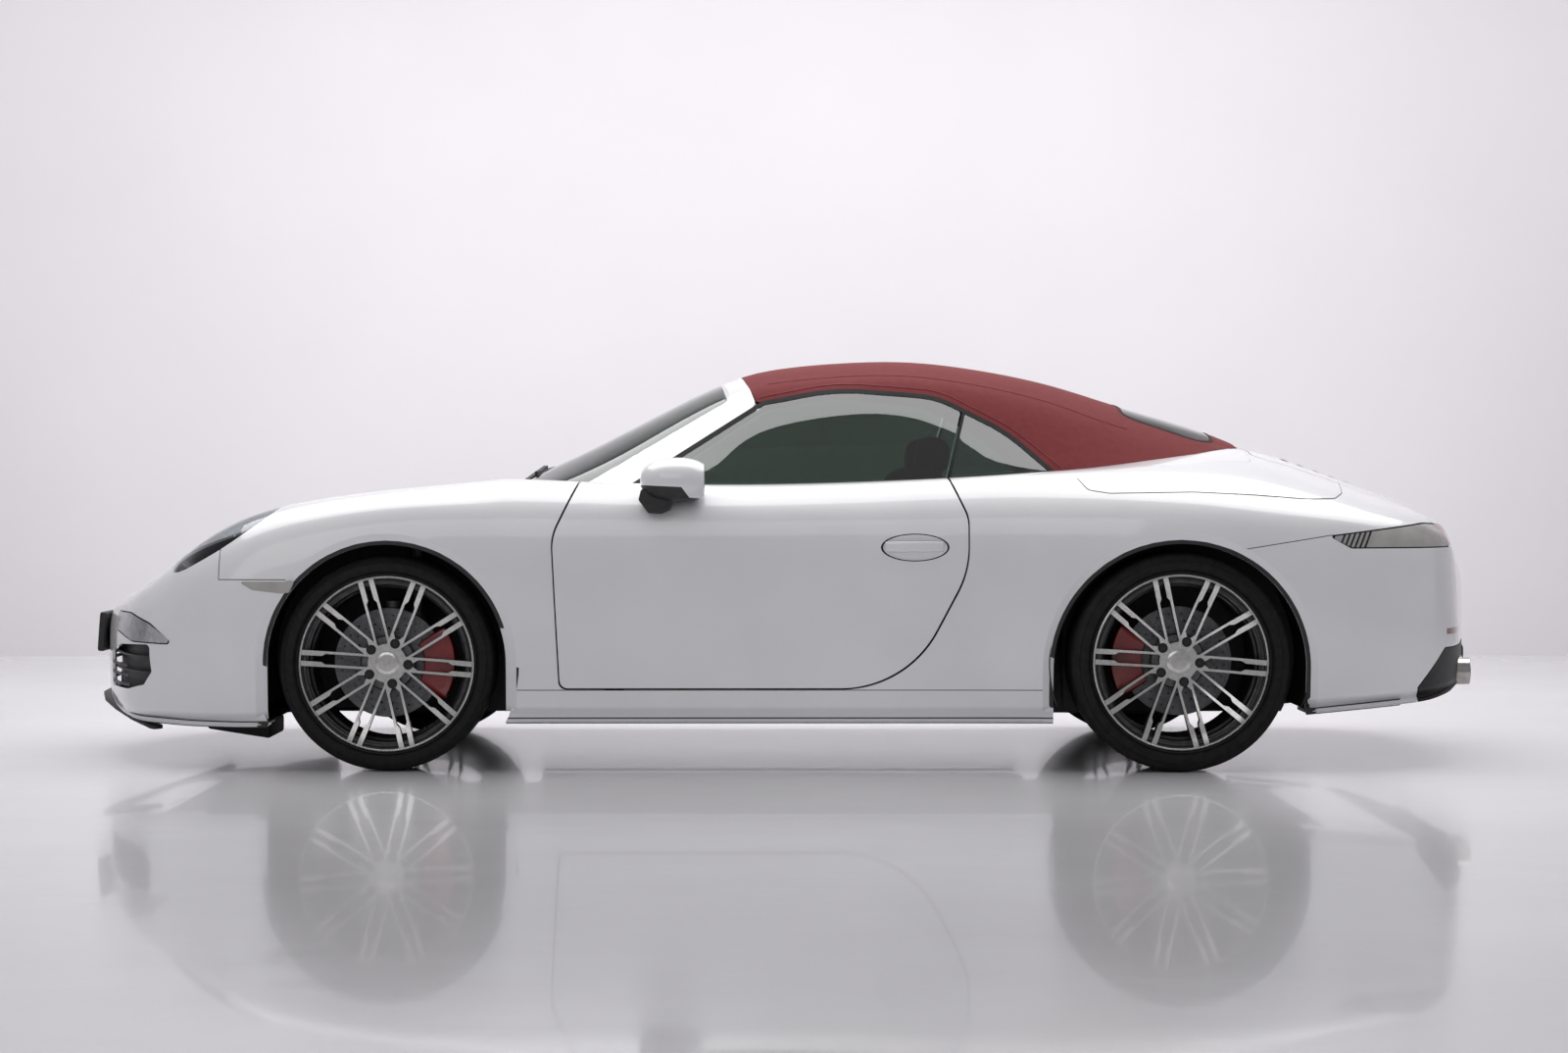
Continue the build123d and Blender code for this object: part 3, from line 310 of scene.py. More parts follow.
# ------------------------------------------------------------------ body surfaces
# x, centre height, then (y, z) of the valley, crest, shoulder, waist and sill corners
STATIONS = [
    (-LENGTH / 2, 440, (30, 438), (55, 425), (70, 400), (70, 340), (55, 300)),
    (-2222, 485, (110, 480), (180, 460), (215, 420), (220, 330), (200, 240)),
    (-2185, 510, (190, 503), (300, 485), (350, 430), (355, 320), (340, 190)),
    (-2125, 540, (290, 530), (460, 505), (525, 440), (540, 320), (520, 165)),
    (-2050, 585, (370, 573), (590, 552), (680, 470), (700, 330), (670, 150)),
    (-1960, 628, (400, 612), (650, 620), (775, 530), (795, 345), (755, 146)),
    (-1860, 655, (420, 637), (680, 705), (845, 610), (855, 365), (815, 142)),
    (-1760, 676, (435, 660), (695, 775), (882, 665), (888, 380), (850, 140)),
    (-1575, 715, (460, 708), (705, 845), (900, 740), (903, 400), (872, 140)),
    (-1235, 785, (500, 781), (745, 893), (918, 790), (902, 420), (868, 150)),
    (-950, 850, (520, 848), (765, 915), (910, 790), (894, 430), (862, 150)),
    (-780, 872, (560, 868), (775, 918), (905, 785), (893, 430), (862, 150)),
    (-200, 880, (600, 878), (800, 890), (905, 772), (892, 430), (858, 150)),
    (450, 900, (600, 895), (800, 910), (905, 775), (890, 430), (856, 150)),
    (850, 930, (560, 920), (790, 935), (928, 785), (905, 430), (866, 150)),
    (1215, 1000, (480, 985), (780, 925), (957, 800), (930, 450), (885, 150)),
    (1500, 1012, (440, 990), (770, 890), (950, 780), (932, 440), (890, 170)),
    (1750, 935, (420, 915), (730, 850), (912, 765), (918, 430), (880, 195)),
    (1950, 860, (400, 845), (690, 805), (850, 735), (875, 420), (840, 215)),
    (2040, 815, (380, 803), (640, 778), (775, 712), (805, 405), (770, 230)),
    (2101, 772, (340, 765), (560, 745), (655, 680), (700, 390), (670, 245)),
    (2150, 705, (260, 698), (420, 680), (500, 620), (540, 375), (510, 260)),
    (2200, 650, (160, 645), (260, 630), (300, 580), (320, 360), (300, 275)),
    (LENGTH / 2, 590, (60, 586), (95, 575), (110, 540), (115, 380), (100, 330)),
]
BODY_SHARES = [0.49] * 5 + [0.15]
# x, centre height, then (y, z) of the two roof corners and the belt
HOOPS = [
    (-905, 868, (300, 858), (530, 822), (600, 780)),
    (-700, 977, (330, 962), (565, 890), (650, 820)),
    (-450, 1104, (330, 1088), (560, 1005), (722, 850)),
    (-201, 1222, (320, 1208), (545, 1130), (740, 862)),
    (0, 1274, (320, 1258), (550, 1172), (748, 868)),
    (259, 1294, (320, 1278), (555, 1190), (752, 872)),
    (520, 1284, (320, 1268), (548, 1172), (750, 876)),
    (850, 1225, (310, 1208), (530, 1105), (730, 890)),
    (1147, 1134, (290, 1118), (500, 1020), (660, 900)),
    (1520, 1002, (260, 990), (440, 930), (560, 880)),
]
HOOP_SHARES = [0.49, 0.49, 0.49, 0.3, 0.15]
FOOT_Z = 700


def corner_arc(before, here, after, share):
    """Centre, radius and reach of the arc that rounds one corner of a section."""
    to_before = before - here
    to_after = after - here
    reach = share * min(to_before.length, to_after.length)
    half = min(to_before.angle(to_after) / 2, math.radians(89.7))
    radius = reach * math.tan(half)
    centre = here + (to_before.normalized() + to_after.normalized()).normalized() * (radius / math.sin(half))
    return centre, radius, reach


def half_ring(corners, shares):
    """Section points on one half, from the top centre to the last corner: the middle of each rounded
    corner, and the middle of the straight between two corners; the last corner is tight, so its arc's
    two ends are given as well."""
    chain = [Vector((-corners[1].x, corners[1].y))] + corners + [Vector((-corners[-1].x, corners[-1].y))]
    arcs = [corner_arc(chain[i - 1], chain[i], chain[i + 1], shares[i - 1]) for i in range(1, len(chain) - 1)]
    ring = []
    for i, corner in enumerate(corners):
        centre, radius, reach = arcs[i]
        if i == len(corners) - 1:
            ring.append(corner + (corners[i - 1] - corner).normalized() * reach)
        ring.append(centre + (corner - centre).normalized() * radius)
        if i < len(corners) - 1:
            edge = corners[i + 1] - corner
            low, high = reach, edge.length - arcs[i + 1][2]
            ring.append(corner + edge.normalized() * (low + high) / 2)
    ring.append(corners[-1] + (chain[-1] - corners[-1]).normalized() * arcs[-1][2])
    ring.append(corners[-1] * 0.5 + Vector((0, corners[-1].y * 0.5)))
    return ring


def master(name, rows, shares, foot=None, levels=3):
    """Closed smooth surface through a table of sections."""
    rings = []
    for x, top, *others in rows:
        corners = [Vector((0, top))] + [Vector(c) for c in others]
        if foot is not None:
            corners.append(Vector((others[-1][0], foot)))
        half = half_ring(corners, shares)
        half.append(Vector((0, corners[-1].y)))
        right = [Vector((-p.x, p.y)) for p in reversed(half[1:-1])]
        rings.append([(x, -p.x, p.y) for p in half + right])
    along, across = len(rings) - 1, len(rings[0])
    obj = primitive("grid", name, x_subdivisions=along, y_subdivisions=across, size=2)
    for vertex in obj.data.vertices:
        i = round((vertex.co.x + 1) / 2 * along)
        j = round((vertex.co.y + 1) / 2 * across) % across
        vertex.co = Vector(rings[i][j]) * MM
    edited(
        obj,
        lambda: bpy.ops.mesh.remove_doubles(threshold=0.00001),
        lambda: bpy.ops.mesh.select_all(action="DESELECT"),
        bpy.ops.mesh.select_non_manifold,
        bpy.ops.mesh.edge_face_add,
        select_all,
        bpy.ops.mesh.normals_make_consistent,
    )
    fit_cage(obj)
    return apply_modifier(obj, "SUBSURF", levels=levels, render_levels=levels)


def fit_cage(obj, rounds=5):
    """Move a cage outwards until its subdivided surface passes through the points it started from."""
    targets = [v.co.copy() for v in obj.data.vertices]
    modifier = obj.modifiers.new("Fit", "SUBSURF")
    modifier.levels = 2
    for _ in range(rounds):
        bpy.context.view_layer.update()
        evaluated = obj.evaluated_get(bpy.context.evaluated_depsgraph_get())
        reached = [evaluated.data.vertices[i].co.copy() for i in range(len(targets))]
        for vertex, target, point in zip(obj.data.vertices, targets, reached):
            vertex.co += target - point
        obj.data.update()
    obj.modifiers.remove(modifier)


def shell_of(solid, thickness):
    """Skin of a closed solid: its surface, and the same surface moved inwards and turned over."""
    inside = edited(offset(solid, -thickness, "inside"), bpy.ops.mesh.flip_normals)
    return join([copy_of(solid, "outside"), inside], "skin")


# ------------------------------------------------------------------ materials
def shader_node(tree, kind, **values):
    """New shader node with some of its inputs set."""
    made = tree.nodes.new("ShaderNode" + kind)
    for name, value in values.items():
        made.inputs[name].default_value = value
    return made


def link_noise(tree, scale, detail=4.0):
    """Noise on Object coordinates; returns its value output."""
    coordinates = shader_node(tree, "TexCoord")
    noise = shader_node(tree, "TexNoise", Scale=scale, Detail=detail)
    tree.links.new(coordinates.outputs["Object"], noise.inputs["Vector"])
    return noise.outputs[0]


def ramp(tree, value, low, high):
    node = shader_node(tree, "ValToRGB")
    for element, position, tone in zip(node.color_ramp.elements, (0.35, 0.65), (low, high)):
        element.position = position
        element.color = (*tone, 1)
    tree.links.new(value, node.inputs["Fac"])
    return node.outputs["Color"]


def bump(tree, height, strength, distance):
    node = shader_node(tree, "Bump", Strength=strength, Distance=distance)
    tree.links.new(height, node.inputs["Height"])
    tree.links.new(node.outputs["Normal"], tree.nodes["Principled BSDF"].inputs["Normal"])


def arithmetic(tree, operation, first, second):
    """Maths node on two values, each an output or a number."""
    node = shader_node(tree, "Math")
    node.operation = operation
    for socket, value in zip(node.inputs, (first, second)):
        if isinstance(value, float):
            socket.default_value = value
        else:
            tree.links.new(value, socket)
    return node.outputs[0]


def material(name, low, high, scale, bumpiness=0.0, bump_scale=900.0, bump_depth=0.0005, **sockets):
    """Principled material whose colour wanders between two close tones, with a fine surface grain."""
    made = bpy.data.materials.new(name)
    made.use_nodes = True
    tree = made.node_tree
    shader = tree.nodes["Principled BSDF"]
    tree.links.new(ramp(tree, link_noise(tree, scale), low, high), shader.inputs["Base Color"])
    for socket, value in sockets.items():
        shader.inputs[socket.replace("_", " ")].default_value = value
    if bumpiness:
        bump(tree, link_noise(tree, bump_scale, 6.0), bumpiness, bump_depth)
    return made


def dress(obj, *materials):
    """Give a piece its materials in place of any that it has."""
    obj.data.materials.clear()
    for item in materials:
        obj.data.materials.append(item)
    return obj


def paint_faces(obj, index, test):
    """Give the faces that pass a test the material of that index."""
    for face in obj.data.polygons:
        if test(face):
            face.material_index = index
    return obj


WHITE_PAINT = material(
    "white_paint", (0.745, 0.745, 0.765), (0.785, 0.785, 0.80), 3, 0.03, 700, 0.0002,
    Roughness=0.32, Coat_Weight=1.0, Coat_Roughness=0.03, Specular_IOR_Level=0.5,
)
BLACK_TRIM = material(
    "black_trim", (0.010, 0.010, 0.011), (0.018, 0.018, 0.019), 60, 0.25, 1400, 0.0004, Roughness=0.5
)
GLOSS_BLACK = material(
    "gloss_black", (0.008, 0.008, 0.009), (0.014, 0.014, 0.015), 40, 0.02, 500, 0.0002, Roughness=0.08
)
RUBBER = material(
    "rubber", (0.006, 0.006, 0.006), (0.012, 0.0115, 0.011), 45, 0.3, 1600, 0.0005, Roughness=0.62,
    Specular_IOR_Level=0.2,
)
DARK_METAL = material(
    "dark_metal", (0.045, 0.046, 0.048), (0.075, 0.076, 0.078), 50, 0.05, 900, 0.0003,
    Metallic=0.85, Roughness=0.36,
)
SILVER = material(
    "machined_silver", (0.50, 0.495, 0.485), (0.60, 0.595, 0.585), 90, 0.06, 1800, 0.0002,
    Metallic=1.0, Roughness=0.24,
)
STEEL = material(
    "steel", (0.33, 0.33, 0.34), (0.45, 0.45, 0.46), 70, 0.12, 1500, 0.0003, Metallic=1.0, Roughness=0.38
)
# disc steel darkened as painted shade for the shadow inside the wheel
SHADED_DISC_METAL = material(
    "disc_metal_painted_shade", (0.10, 0.10, 0.105), (0.15, 0.15, 0.155), 70, 0.12, 1500, 0.0003, Metallic=0.9, Roughness=0.42
)
CAST_METAL = material(
    "cast_metal", (0.16, 0.16, 0.165), (0.24, 0.24, 0.245), 35, 0.4, 600, 0.0006, Metallic=0.8, Roughness=0.55
)
# red enamel of the callipers, darkened as painted shade for the shadow behind the spokes
SHADED_RED_ENAMEL = material(
    "red_enamel_painted_shade", (0.20, 0.004, 0.006), (0.27, 0.008, 0.009), 30, 0.1, 900, 0.0003, Roughness=0.28, Coat_Weight=0.6
)
LEATHER = material(
    "black_leather", (0.014, 0.014, 0.015), (0.026, 0.025, 0.026), 55, 0.5, 1100, 0.0008, Roughness=0.5
)
CARPET = material(
    "carpet", (0.012, 0.012, 0.013), (0.028, 0.028, 0.030), 220, 0.9, 2600, 0.0015, Roughness=0.95
)
CHROME = material(
    "chrome", (0.36, 0.345, 0.33), (0.45, 0.435, 0.42), 60, 0.02, 900, 0.0002, Metallic=1.0, Roughness=0.14
)
MIRROR_GLASS = material(
    "mirror_glass", (0.86, 0.87, 0.88), (0.92, 0.93, 0.94), 12, 0.01, 400, 0.0001, Metallic=1.0, Roughness=0.02
)
LAMP_SILVER = material(
    "lamp_silver", (0.55, 0.56, 0.58), (0.72, 0.73, 0.75), 45, 0.08, 500, 0.0003, Metallic=0.9, Roughness=0.22
)
LAMP_DARK = material(
    "lamp_dark", (0.035, 0.036, 0.038), (0.07, 0.072, 0.075), 45, 0.08, 500, 0.0003, Metallic=0.6, Roughness=0.25
)
LIGHT_BAR = material(
    "light_bar", (0.85, 0.86, 0.88), (0.95, 0.95, 0.96), 35, 0.1, 400, 0.0003,
    Roughness=0.18, Emission_Color=(0.9, 0.93, 1.0, 1), Emission_Strength=0.15,
)
RED_LENS = material(
    "red_lens", (0.16, 0.035, 0.035), (0.26, 0.07, 0.06), 60, 0.1, 700, 0.0003,
    Roughness=0.12, Coat_Weight=1.0, Coat_Roughness=0.02,
)
SMOKED_LENS = material(
    "smoked_lens", (0.33, 0.325, 0.31), (0.42, 0.41, 0.395), 14, 0.1, 500, 0.0003, Roughness=0.14, Coat_Weight=1.0
)
PLATE_BLANK = material(
    "plate_blank", (0.62, 0.62, 0.60), (0.68, 0.68, 0.66), 40, 0.05, 900, 0.0002, Roughness=0.4
)


def fabric_material():
    """Dull red woven cloth of the folding top."""
    made = material(
        "red_fabric", (0.148, 0.019, 0.022), (0.168, 0.024, 0.026), 40, Roughness=0.92,
        Sheen_Weight=0.06, Sheen_Roughness=0.5, Specular_IOR_Level=0.25,
    )
    tree = made.node_tree
    coordinates = shader_node(tree, "TexCoord")
    heights = []
    for rotation in (0.0, math.pi / 2):
        mapping = shader_node(tree, "Mapping", Rotation=(0, 0, rotation))
        wave = shader_node(tree, "TexWave", Scale=320, Distortion=0.4)
        tree.links.new(coordinates.outputs["Object"], mapping.inputs["Vector"])
        tree.links.new(mapping.outputs["Vector"], wave.inputs["Vector"])
        heights.append(wave.outputs["Fac"])
    bump(tree, arithmetic(tree, "MULTIPLY", *heights), 0.35, 0.0006)
    return made


def mix_shaders(tree, share, first, second):
    """Surface of a material: one shader, and another over it by a share."""
    mix = shader_node(tree, "MixShader")
    tree.links.new(share, mix.inputs["Fac"])
    tree.links.new(first.outputs["BSDF"], mix.inputs[1])
    tree.links.new(second.outputs["BSDF"], mix.inputs[2])
    tree.links.new(mix.outputs["Shader"], tree.nodes["Material Output"].inputs["Surface"])


def glass_material(name, tint, ior):
    """Thin tinted glass: a clear sheet that darkens what is behind it, glossy on its outer face only."""
    made = bpy.data.materials.new(name)
    made.use_nodes = True
    tree = made.node_tree
    tree.nodes.remove(tree.nodes["Principled BSDF"])
    clear = shader_node(tree, "BsdfTransparent")
    shades = tuple(c * 0.93 for c in tint)
    tree.links.new(ramp(tree, link_noise(tree, 2.0), shades, tint), clear.inputs["Color"])
    gloss = shader_node(tree, "BsdfGlossy", Roughness=0.0, Color=(1, 1, 1, 1))
    facing = shader_node(tree, "Fresnel", IOR=ior)
    outer_face = arithmetic(tree, "SUBTRACT", 1.0, shader_node(tree, "NewGeometry").outputs["Backfacing"])
    mix_shaders(tree, arithmetic(tree, "MULTIPLY", facing.outputs["Fac"], outer_face), clear, gloss)
    return made


FABRIC = fabric_material()
LINING_CLOTH = material(
    "lining_cloth", (0.012, 0.011, 0.012), (0.022, 0.020, 0.021), 160, 0.6, 2200, 0.0006, Roughness=0.9
)
HEM_CLOTH = material(
    "hem_cloth", (0.15, 0.020, 0.023), (0.20, 0.030, 0.032), 120, 0.6, 1800, 0.0005, Roughness=0.85
)
TINTED_GLASS = glass_material("tinted_glass", (0.33, 0.42, 0.37), 1.85)
CLEAR_LENS = glass_material("clear_lens", (0.90, 0.92, 0.93), 1.45)


# ------------------------------------------------------------------ body panels
SKIN = 9
SEAM = 2.5
SHUT_GAP = 4.5
LENS = 3
LENS_GAP = 4
DOOR_INNER_Y = 740
Axle = namedtuple("Axle", "name x z track width arch_z arch_radius house_radius house_inner")
FRONT = Axle("front", FRONT_X, 332, 1538, 245, 332, 368, 410, 440)
REAR = Axle("rear", REAR_X, 338, 1552, 305, 314, 389, 405, 590)
OUTSIDE_Y, ARCH_Y = 1100, 860  # a wheel opening is cut through the skin from one to the other
ARCH_LIP = 34  # width of the turned-in lip round each wheel opening
ARCH_TURN = 18
LIP_FOOT = 90
DOOR = [(-600, 980), (-722, 720), (-698, 256), (370, 256), (562, 620), (562, 780), (470, 980)]
DOOR_RADII = [1, 160, 25, 400, 300, 120, 1]
DOOR_BOX = [(-615, 830), (-615, 280), (380, 280), (530, 640), (530, 780), (480, 885)]
DOOR_BOX_RADII = [30, 20, 350, 200, 60, 10]
HOOD_PLAN = [(-2118, 250), (-2060, 440), (-1560, 545), (-830, 625), (-905, 300)]
HOOD_RADII = [150, 120, 800, 40, 300]
ENGINE_PLAN = [(1500, 470), (1990, 545), (2075, 440)]
ENGINE_RADII = [60, 60, 120]
TOP_LID_PLAN = [(1150, 300), (1120, 560), (885, 690), (905, 735), (1200, 690), (1482, 560)]
TOP_LID_RADII = [20, 60, 8, 8, 400, 40]
HOOD_FLOOR, ENGINE_FLOOR, TOP_LID_FLOOR = 300, 500, 700  # how deep the lids' outlines are cut
COWL_OPENING = (-915, 0, -640, 640, 700, FAR - 1)
CABIN_OPENING = (-560, 884, -690, 690, 701, FAR - 2)
BUMPER_SEAM_Z = 592
BUMPER_SEAM_X = -1752
REAR_SEAM = [(REAR_X, 656), (1352, 678), (1676, 729), (2300, 742)]  # behind the lamp from x = 1676 on
DECK_SEAM = [(905, 905), (935, 868), (1000, 858), (1260, 862), (1450, 853), (1620, 840), (1715, 841), (1750, 858)]
DECK_SEAM += [(1775, 900)]
DECK_SEAM_RADII = [0, 30, 60, 300, 300, 200, 40, 20, 0]
DECK_SLOTS = (1610, 1660, 1710, 1760, 1810)  # air slots in the engine lid
SKIRT_TOP = 250
FENDER_END = -560
UNDERSIDE = (-1950, 1950, -715, 715, -51, 200)
LAMP_CENTRE = (-1705, -690, 680)
LAMP_AXIS = (-0.68, -0.34, 0.62)
LAMP_SLOPE = (0.82, 0.0, 0.57)
LAMP_RADIUS = 128
LAMP_STRETCH = 1.5  # length over width of the lamp
LAMP_SEAM = 2
TAIL_LIGHT = [(1671, 724), (1990, 762), (2300, 748), (2300, 692), (1745, 692)]
TAIL_LIGHT_RADII = [6, 100, 1, 1, 20]
DRL = [(-2300, 470), (-2075, 478), (-1990, 450), (-1915, 402), (-1925, 392), (-2060, 394), (-2120, 415), (-2300, 440)]
DRL_RADII = [1, 60, 100, 6, 6, 20, 30, 1]
DRL_INNER_Y = 430
CENTRE_INTAKE = [(-250, 225), (-270, 320), (270, 320), (250, 225)]
SIDE_INTAKE = [(350, 235), (350, 345), (560, 378), (768, 386), (768, 300), (735, 258), (640, 240)]
INTAKE_RADIUS, INTAKE_END_X = 14, -1950
VALANCE = [(1958, -100), (1958, 255), (2058, 376), (FAR, 376), (FAR, -100)]
PIPE_YS = (430, 535)
PIPE_Z = 290
PIPE_HOLE = 48
HANDLE = (395, 693)  # middle of the recess, in side view
# depth of the black ring of painted shade on the recess's wall
RECESS_SHADE_DEPTH = 1.8
RECESS_RADII = (132, 34, 56)
RECESS_OUT = 21  # the recess's centre stands off the door by this
BACKING, BACKING_IN = 3, 11  # the liner behind the seams and how far in it lies
BACKING_OPENING = (-915, 884, -700, 700, 650, FAR - 1)
BACKING_TAIL = [(1900, -100), (FAR, -100), (FAR, 380), (1900, 380)]
BACKING_REACH = 12  # the liner reaches this far under the lids
STRUCTURE_IN, DOOR_BOX_IN = 18, 5  # how far the plain structure and the doors' boxes lie inside the skin


def grown(plan, grow):
    """Plan outline moved outwards from its own middle."""
    centre = (plan[0][0] + plan[-1][0]) / 2
    return [(x + math.copysign(grow, x - centre), y + grow) for x, y in plan]


def spread(points, grow):
    """Side outline moved outwards from its own middle."""
    cx = sum(p[0] for p in points) / len(points)
    cz = sum(p[1] for p in points) / len(points)
    return [(x + math.copysign(grow, x - cx), z + math.copysign(grow, z - cz)) for x, z in points]


def full(points, radii):
    """Side-view outline cut right across the car."""
    return side_prism(points, radii, near=-FAR)


def zone(*points):
    return full(list(points), [0] * len(points))


def door_tool(gap):
    return pair(side_prism(spread(DOOR, gap), DOOR_RADII, near=600))


def hood_tool(gap):
    return plan_prism(grown(HOOD_PLAN, gap), HOOD_RADII, HOOD_FLOOR)


def engine_tool(gap, floor=ENGINE_FLOOR):
    return plan_prism(grown(ENGINE_PLAN, gap), ENGINE_RADII, floor)


def arch_cutters():
    """Tools for the four wheel openings: the arches through the skin and the houses behind them."""
    tools = []
    for axle in (FRONT, REAR):
        low, high = axle.x - axle.arch_radius, axle.x + axle.arch_radius
        arch = drum(axle.x, axle.arch_z, axle.arch_radius, -OUTSIDE_Y, -ARCH_Y, 160)
        house = drum(axle.x, axle.z, axle.house_radius, -ARCH_Y - 20, -axle.house_inner, 160)
        below = block(low, high, -OUTSIDE_Y - 1, -axle.house_inner + 1, -50, axle.z)
        tools.append(pair(merge([arch, house, below], "arch")))
    return tools


def arch_ring(axle):
    """Left ring round a wheel opening, through the skin, where the arch lip turns in."""
    inner, outer = axle.arch_radius, axle.arch_radius + ARCH_LIP
    far, near = 1 - OUTSIDE_Y, -ARCH_Y - 1
    ring = drum(axle.x, axle.arch_z, outer, far, near, 160)
    cut(ring, drum(axle.x, axle.arch_z, inner, -OUTSIDE_Y, -ARCH_Y, 160))
    cut(ring, block(axle.x - 500, axle.x + 500, -OUTSIDE_Y - 1, 10 - ARCH_Y, -60, axle.arch_z))
    legs = [block(axle.x + a, axle.x + b, far, near, LIP_FOOT, axle.arch_z + 1)
            for a, b in ((-outer, -inner), (inner, outer))]
    return merge([ring] + legs, "ring")


def turn_in(lips):
    """Lean the arch lips inwards towards the wheel, most at the opening's edge."""
    for vertex in lips.data.vertices:
        axle = FRONT if vertex.co.x < 0 else REAR
        rise = max(0.0, vertex.co.z - axle.arch_z * MM)
        radius = math.hypot(vertex.co.x - axle.x * MM, rise) / MM
        depth = ARCH_TURN * (axle.arch_radius + ARCH_LIP - radius) / ARCH_LIP
        vertex.co.y -= math.copysign(depth * MM, vertex.co.y)
    return lips


def stretched(obj):
    """Lengthen a lamp piece up the slope of the wing."""
    centre, axis, slope = Vector(LAMP_CENTRE) * MM, Vector(LAMP_AXIS).normalized(), Vector(LAMP_SLOPE)
    slope = (slope - axis * slope.dot(axis)).normalized()
    for vertex in obj.data.vertices:
        vertex.co += slope * (vertex.co - centre).dot(slope) * (LAMP_STRETCH - 1)
    return obj


def lamp_tool(grow=0, back=-110, front=200):
    """Oval cutter for the headlight, through the skin."""
    return stretched(tilted_drum(LAMP_CENTRE, LAMP_AXIS, LAMP_RADIUS + grow, back, front))


def intake_tool(grow=0):
    """The three air intakes, from the nose back to behind the skin."""
    tools = []
    for outline in (CENTRE_INTAKE, SIDE_INTAKE, [(-y, z) for y, z in SIDE_INTAKE]):
        points = rounded(spread(outline, grow), [INTAKE_RADIUS] * len(outline))
        tools.append(prism(points, lambda p: (-FAR, p[0], p[1]), (FAR + INTAKE_END_X, 0, 0)))
    return join(tools, "intakes")


def pipe_drums(x, radius, back, front, vertices=64):
    """Cylinders along all four tailpipes."""
    return [tilted_drum((x, side * y, PIPE_Z), (1, 0, 0), radius, back, front, vertices)
            for y in PIPE_YS for side in (LEFT, RIGHT)]


def finish_panel(obj, *materials):
    """Clean a cut panel's shading and dress it."""
    apply_modifier(smooth(obj), "WEIGHTED_NORMAL", keep_sharp=True, weight=60)
    return dress(obj, *materials)


# the finished pieces, by name
pieces = {}


def add(name, obj, body, *replaced):
    """Name a finished piece, hang it on its body and let it stand for CAD nodes."""
    named(obj, name)
    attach(obj, body)
    if replaced:
        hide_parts(*replaced)
    pieces[name] = obj
    return obj


def add_panel(name, panel, finish, *replaced, body="body"):
    return add(name, finish_panel(panel, finish), body, *replaced)


def add_sides(name, obj, body, *replaced):
    """Add a left piece and its mirror image; {} in a name stands for the side."""
    twin = mirrored(obj, "twin")
    for side, piece in (("right", twin), ("left", obj)):
        add(name.format(side), piece, body.format(side), *(node.format(side) for node in replaced))


# --- lids and openings
body_solid = master("body_master", STATIONS, BODY_SHARES)
skin = shell_of(body_solid, SKIN)
lamp_gap = pair(lamp_tool(LAMP_SEAM))
front_lid = cut(meeting(skin, hood_tool(0)), lamp_gap, keep=True)
top_lid = meeting(skin, plan_prism(TOP_LID_PLAN, TOP_LID_RADII, TOP_LID_FLOOR))
cut(top_lid, engine_tool(SHUT_GAP))
engine_lid = meeting(skin, engine_tool(0))
cut(engine_lid, join([block(x, x + 20, -380, 380, 700, FAR) for x in DECK_SLOTS], "slots"))
arch_rings = [pair(arch_ring(axle)) for axle in (FRONT, REAR)]
arch_lips = meeting(skin, join([copy_of(ring, "ring") for ring in arch_rings], "rings"))
openings = arch_cutters() + arch_rings + [
    door_tool(SHUT_GAP), hood_tool(SHUT_GAP), engine_tool(SHUT_GAP),
    plan_prism(grown(TOP_LID_PLAN, 1), TOP_LID_RADII, TOP_LID_FLOOR),
    block(*COWL_OPENING),
    block(*CABIN_OPENING),
    block(*UNDERSIDE),
]
cut(skin, merge(openings, "openings"))

# --- panels cut from the skin, half a seam back from each seam
h = SEAM / 2
front_bumper = meeting(skin, zone(
    (-FAR, -100), (FRONT_X, -100), (FRONT_X, BUMPER_SEAM_Z - h), (BUMPER_SEAM_X - h, BUMPER_SEAM_Z - h),
    (BUMPER_SEAM_X - h, FAR), (-FAR, FAR),
))
fenders = meeting(skin, zone(
    (BUMPER_SEAM_X + h, BUMPER_SEAM_Z + h), (FRONT_X, BUMPER_SEAM_Z + h), (FRONT_X, SKIRT_TOP + h),
    (FENDER_END, SKIRT_TOP + h), (FENDER_END, FAR), (BUMPER_SEAM_X + h, FAR),
))
quarters = meeting(skin, zone(
    (FENDER_END + 60, SKIRT_TOP + h), (REAR_X, SKIRT_TOP + h), *((x, z + h) for x, z in REAR_SEAM), (2300, FAR),
    (FENDER_END + 60, FAR),
))
skirts = meeting(skin, zone(
    (FRONT_X + 300, -100), (REAR_X - 300, -100), (REAR_X - 300, SKIRT_TOP - h), (FRONT_X + 300, SKIRT_TOP - h)
))
rear_bumper = meeting(skin, zone((REAR_X, -100), (2301, -100), *((x, z - h) for x, z in reversed(REAR_SEAM))))
discard(skin)
cut(quarters, pair(strip_prism(DECK_SEAM, DECK_SEAM_RADII, 1.3, near=500)))

# --- lamps and intakes cut through the panels
lens_skin = shell_of(body_solid, LENS)
headlight_lens = meeting(lens_skin, pair(lamp_tool()))
cut(front_bumper, lamp_gap, keep=True)
cut(fenders, lamp_gap)
tail_lens = meeting(lens_skin, full(TAIL_LIGHT, TAIL_LIGHT_RADII))
tail_gap = full(spread(TAIL_LIGHT, LENS_GAP), TAIL_LIGHT_RADII)
cut(quarters, tail_gap, keep=True)
cut(rear_bumper, tail_gap)
drl_lens = meeting(lens_skin, pair(side_prism(DRL, DRL_RADII, near=DRL_INNER_Y)))
cut(front_bumper, pair(side_prism(spread(DRL, LENS_GAP), DRL_RADII, near=DRL_INNER_Y - LENS_GAP)), intake_tool())
discard(lens_skin)
valance = meeting(rear_bumper, zone(*VALANCE))
cut(rear_bumper, zone(*((x - SEAM if x < FAR else x + 1, z + SEAM if z > 0 else z - 1) for x, z in VALANCE)))
cut(valance, *pipe_drums(2000, PIPE_HOLE, 0, 300, 96))

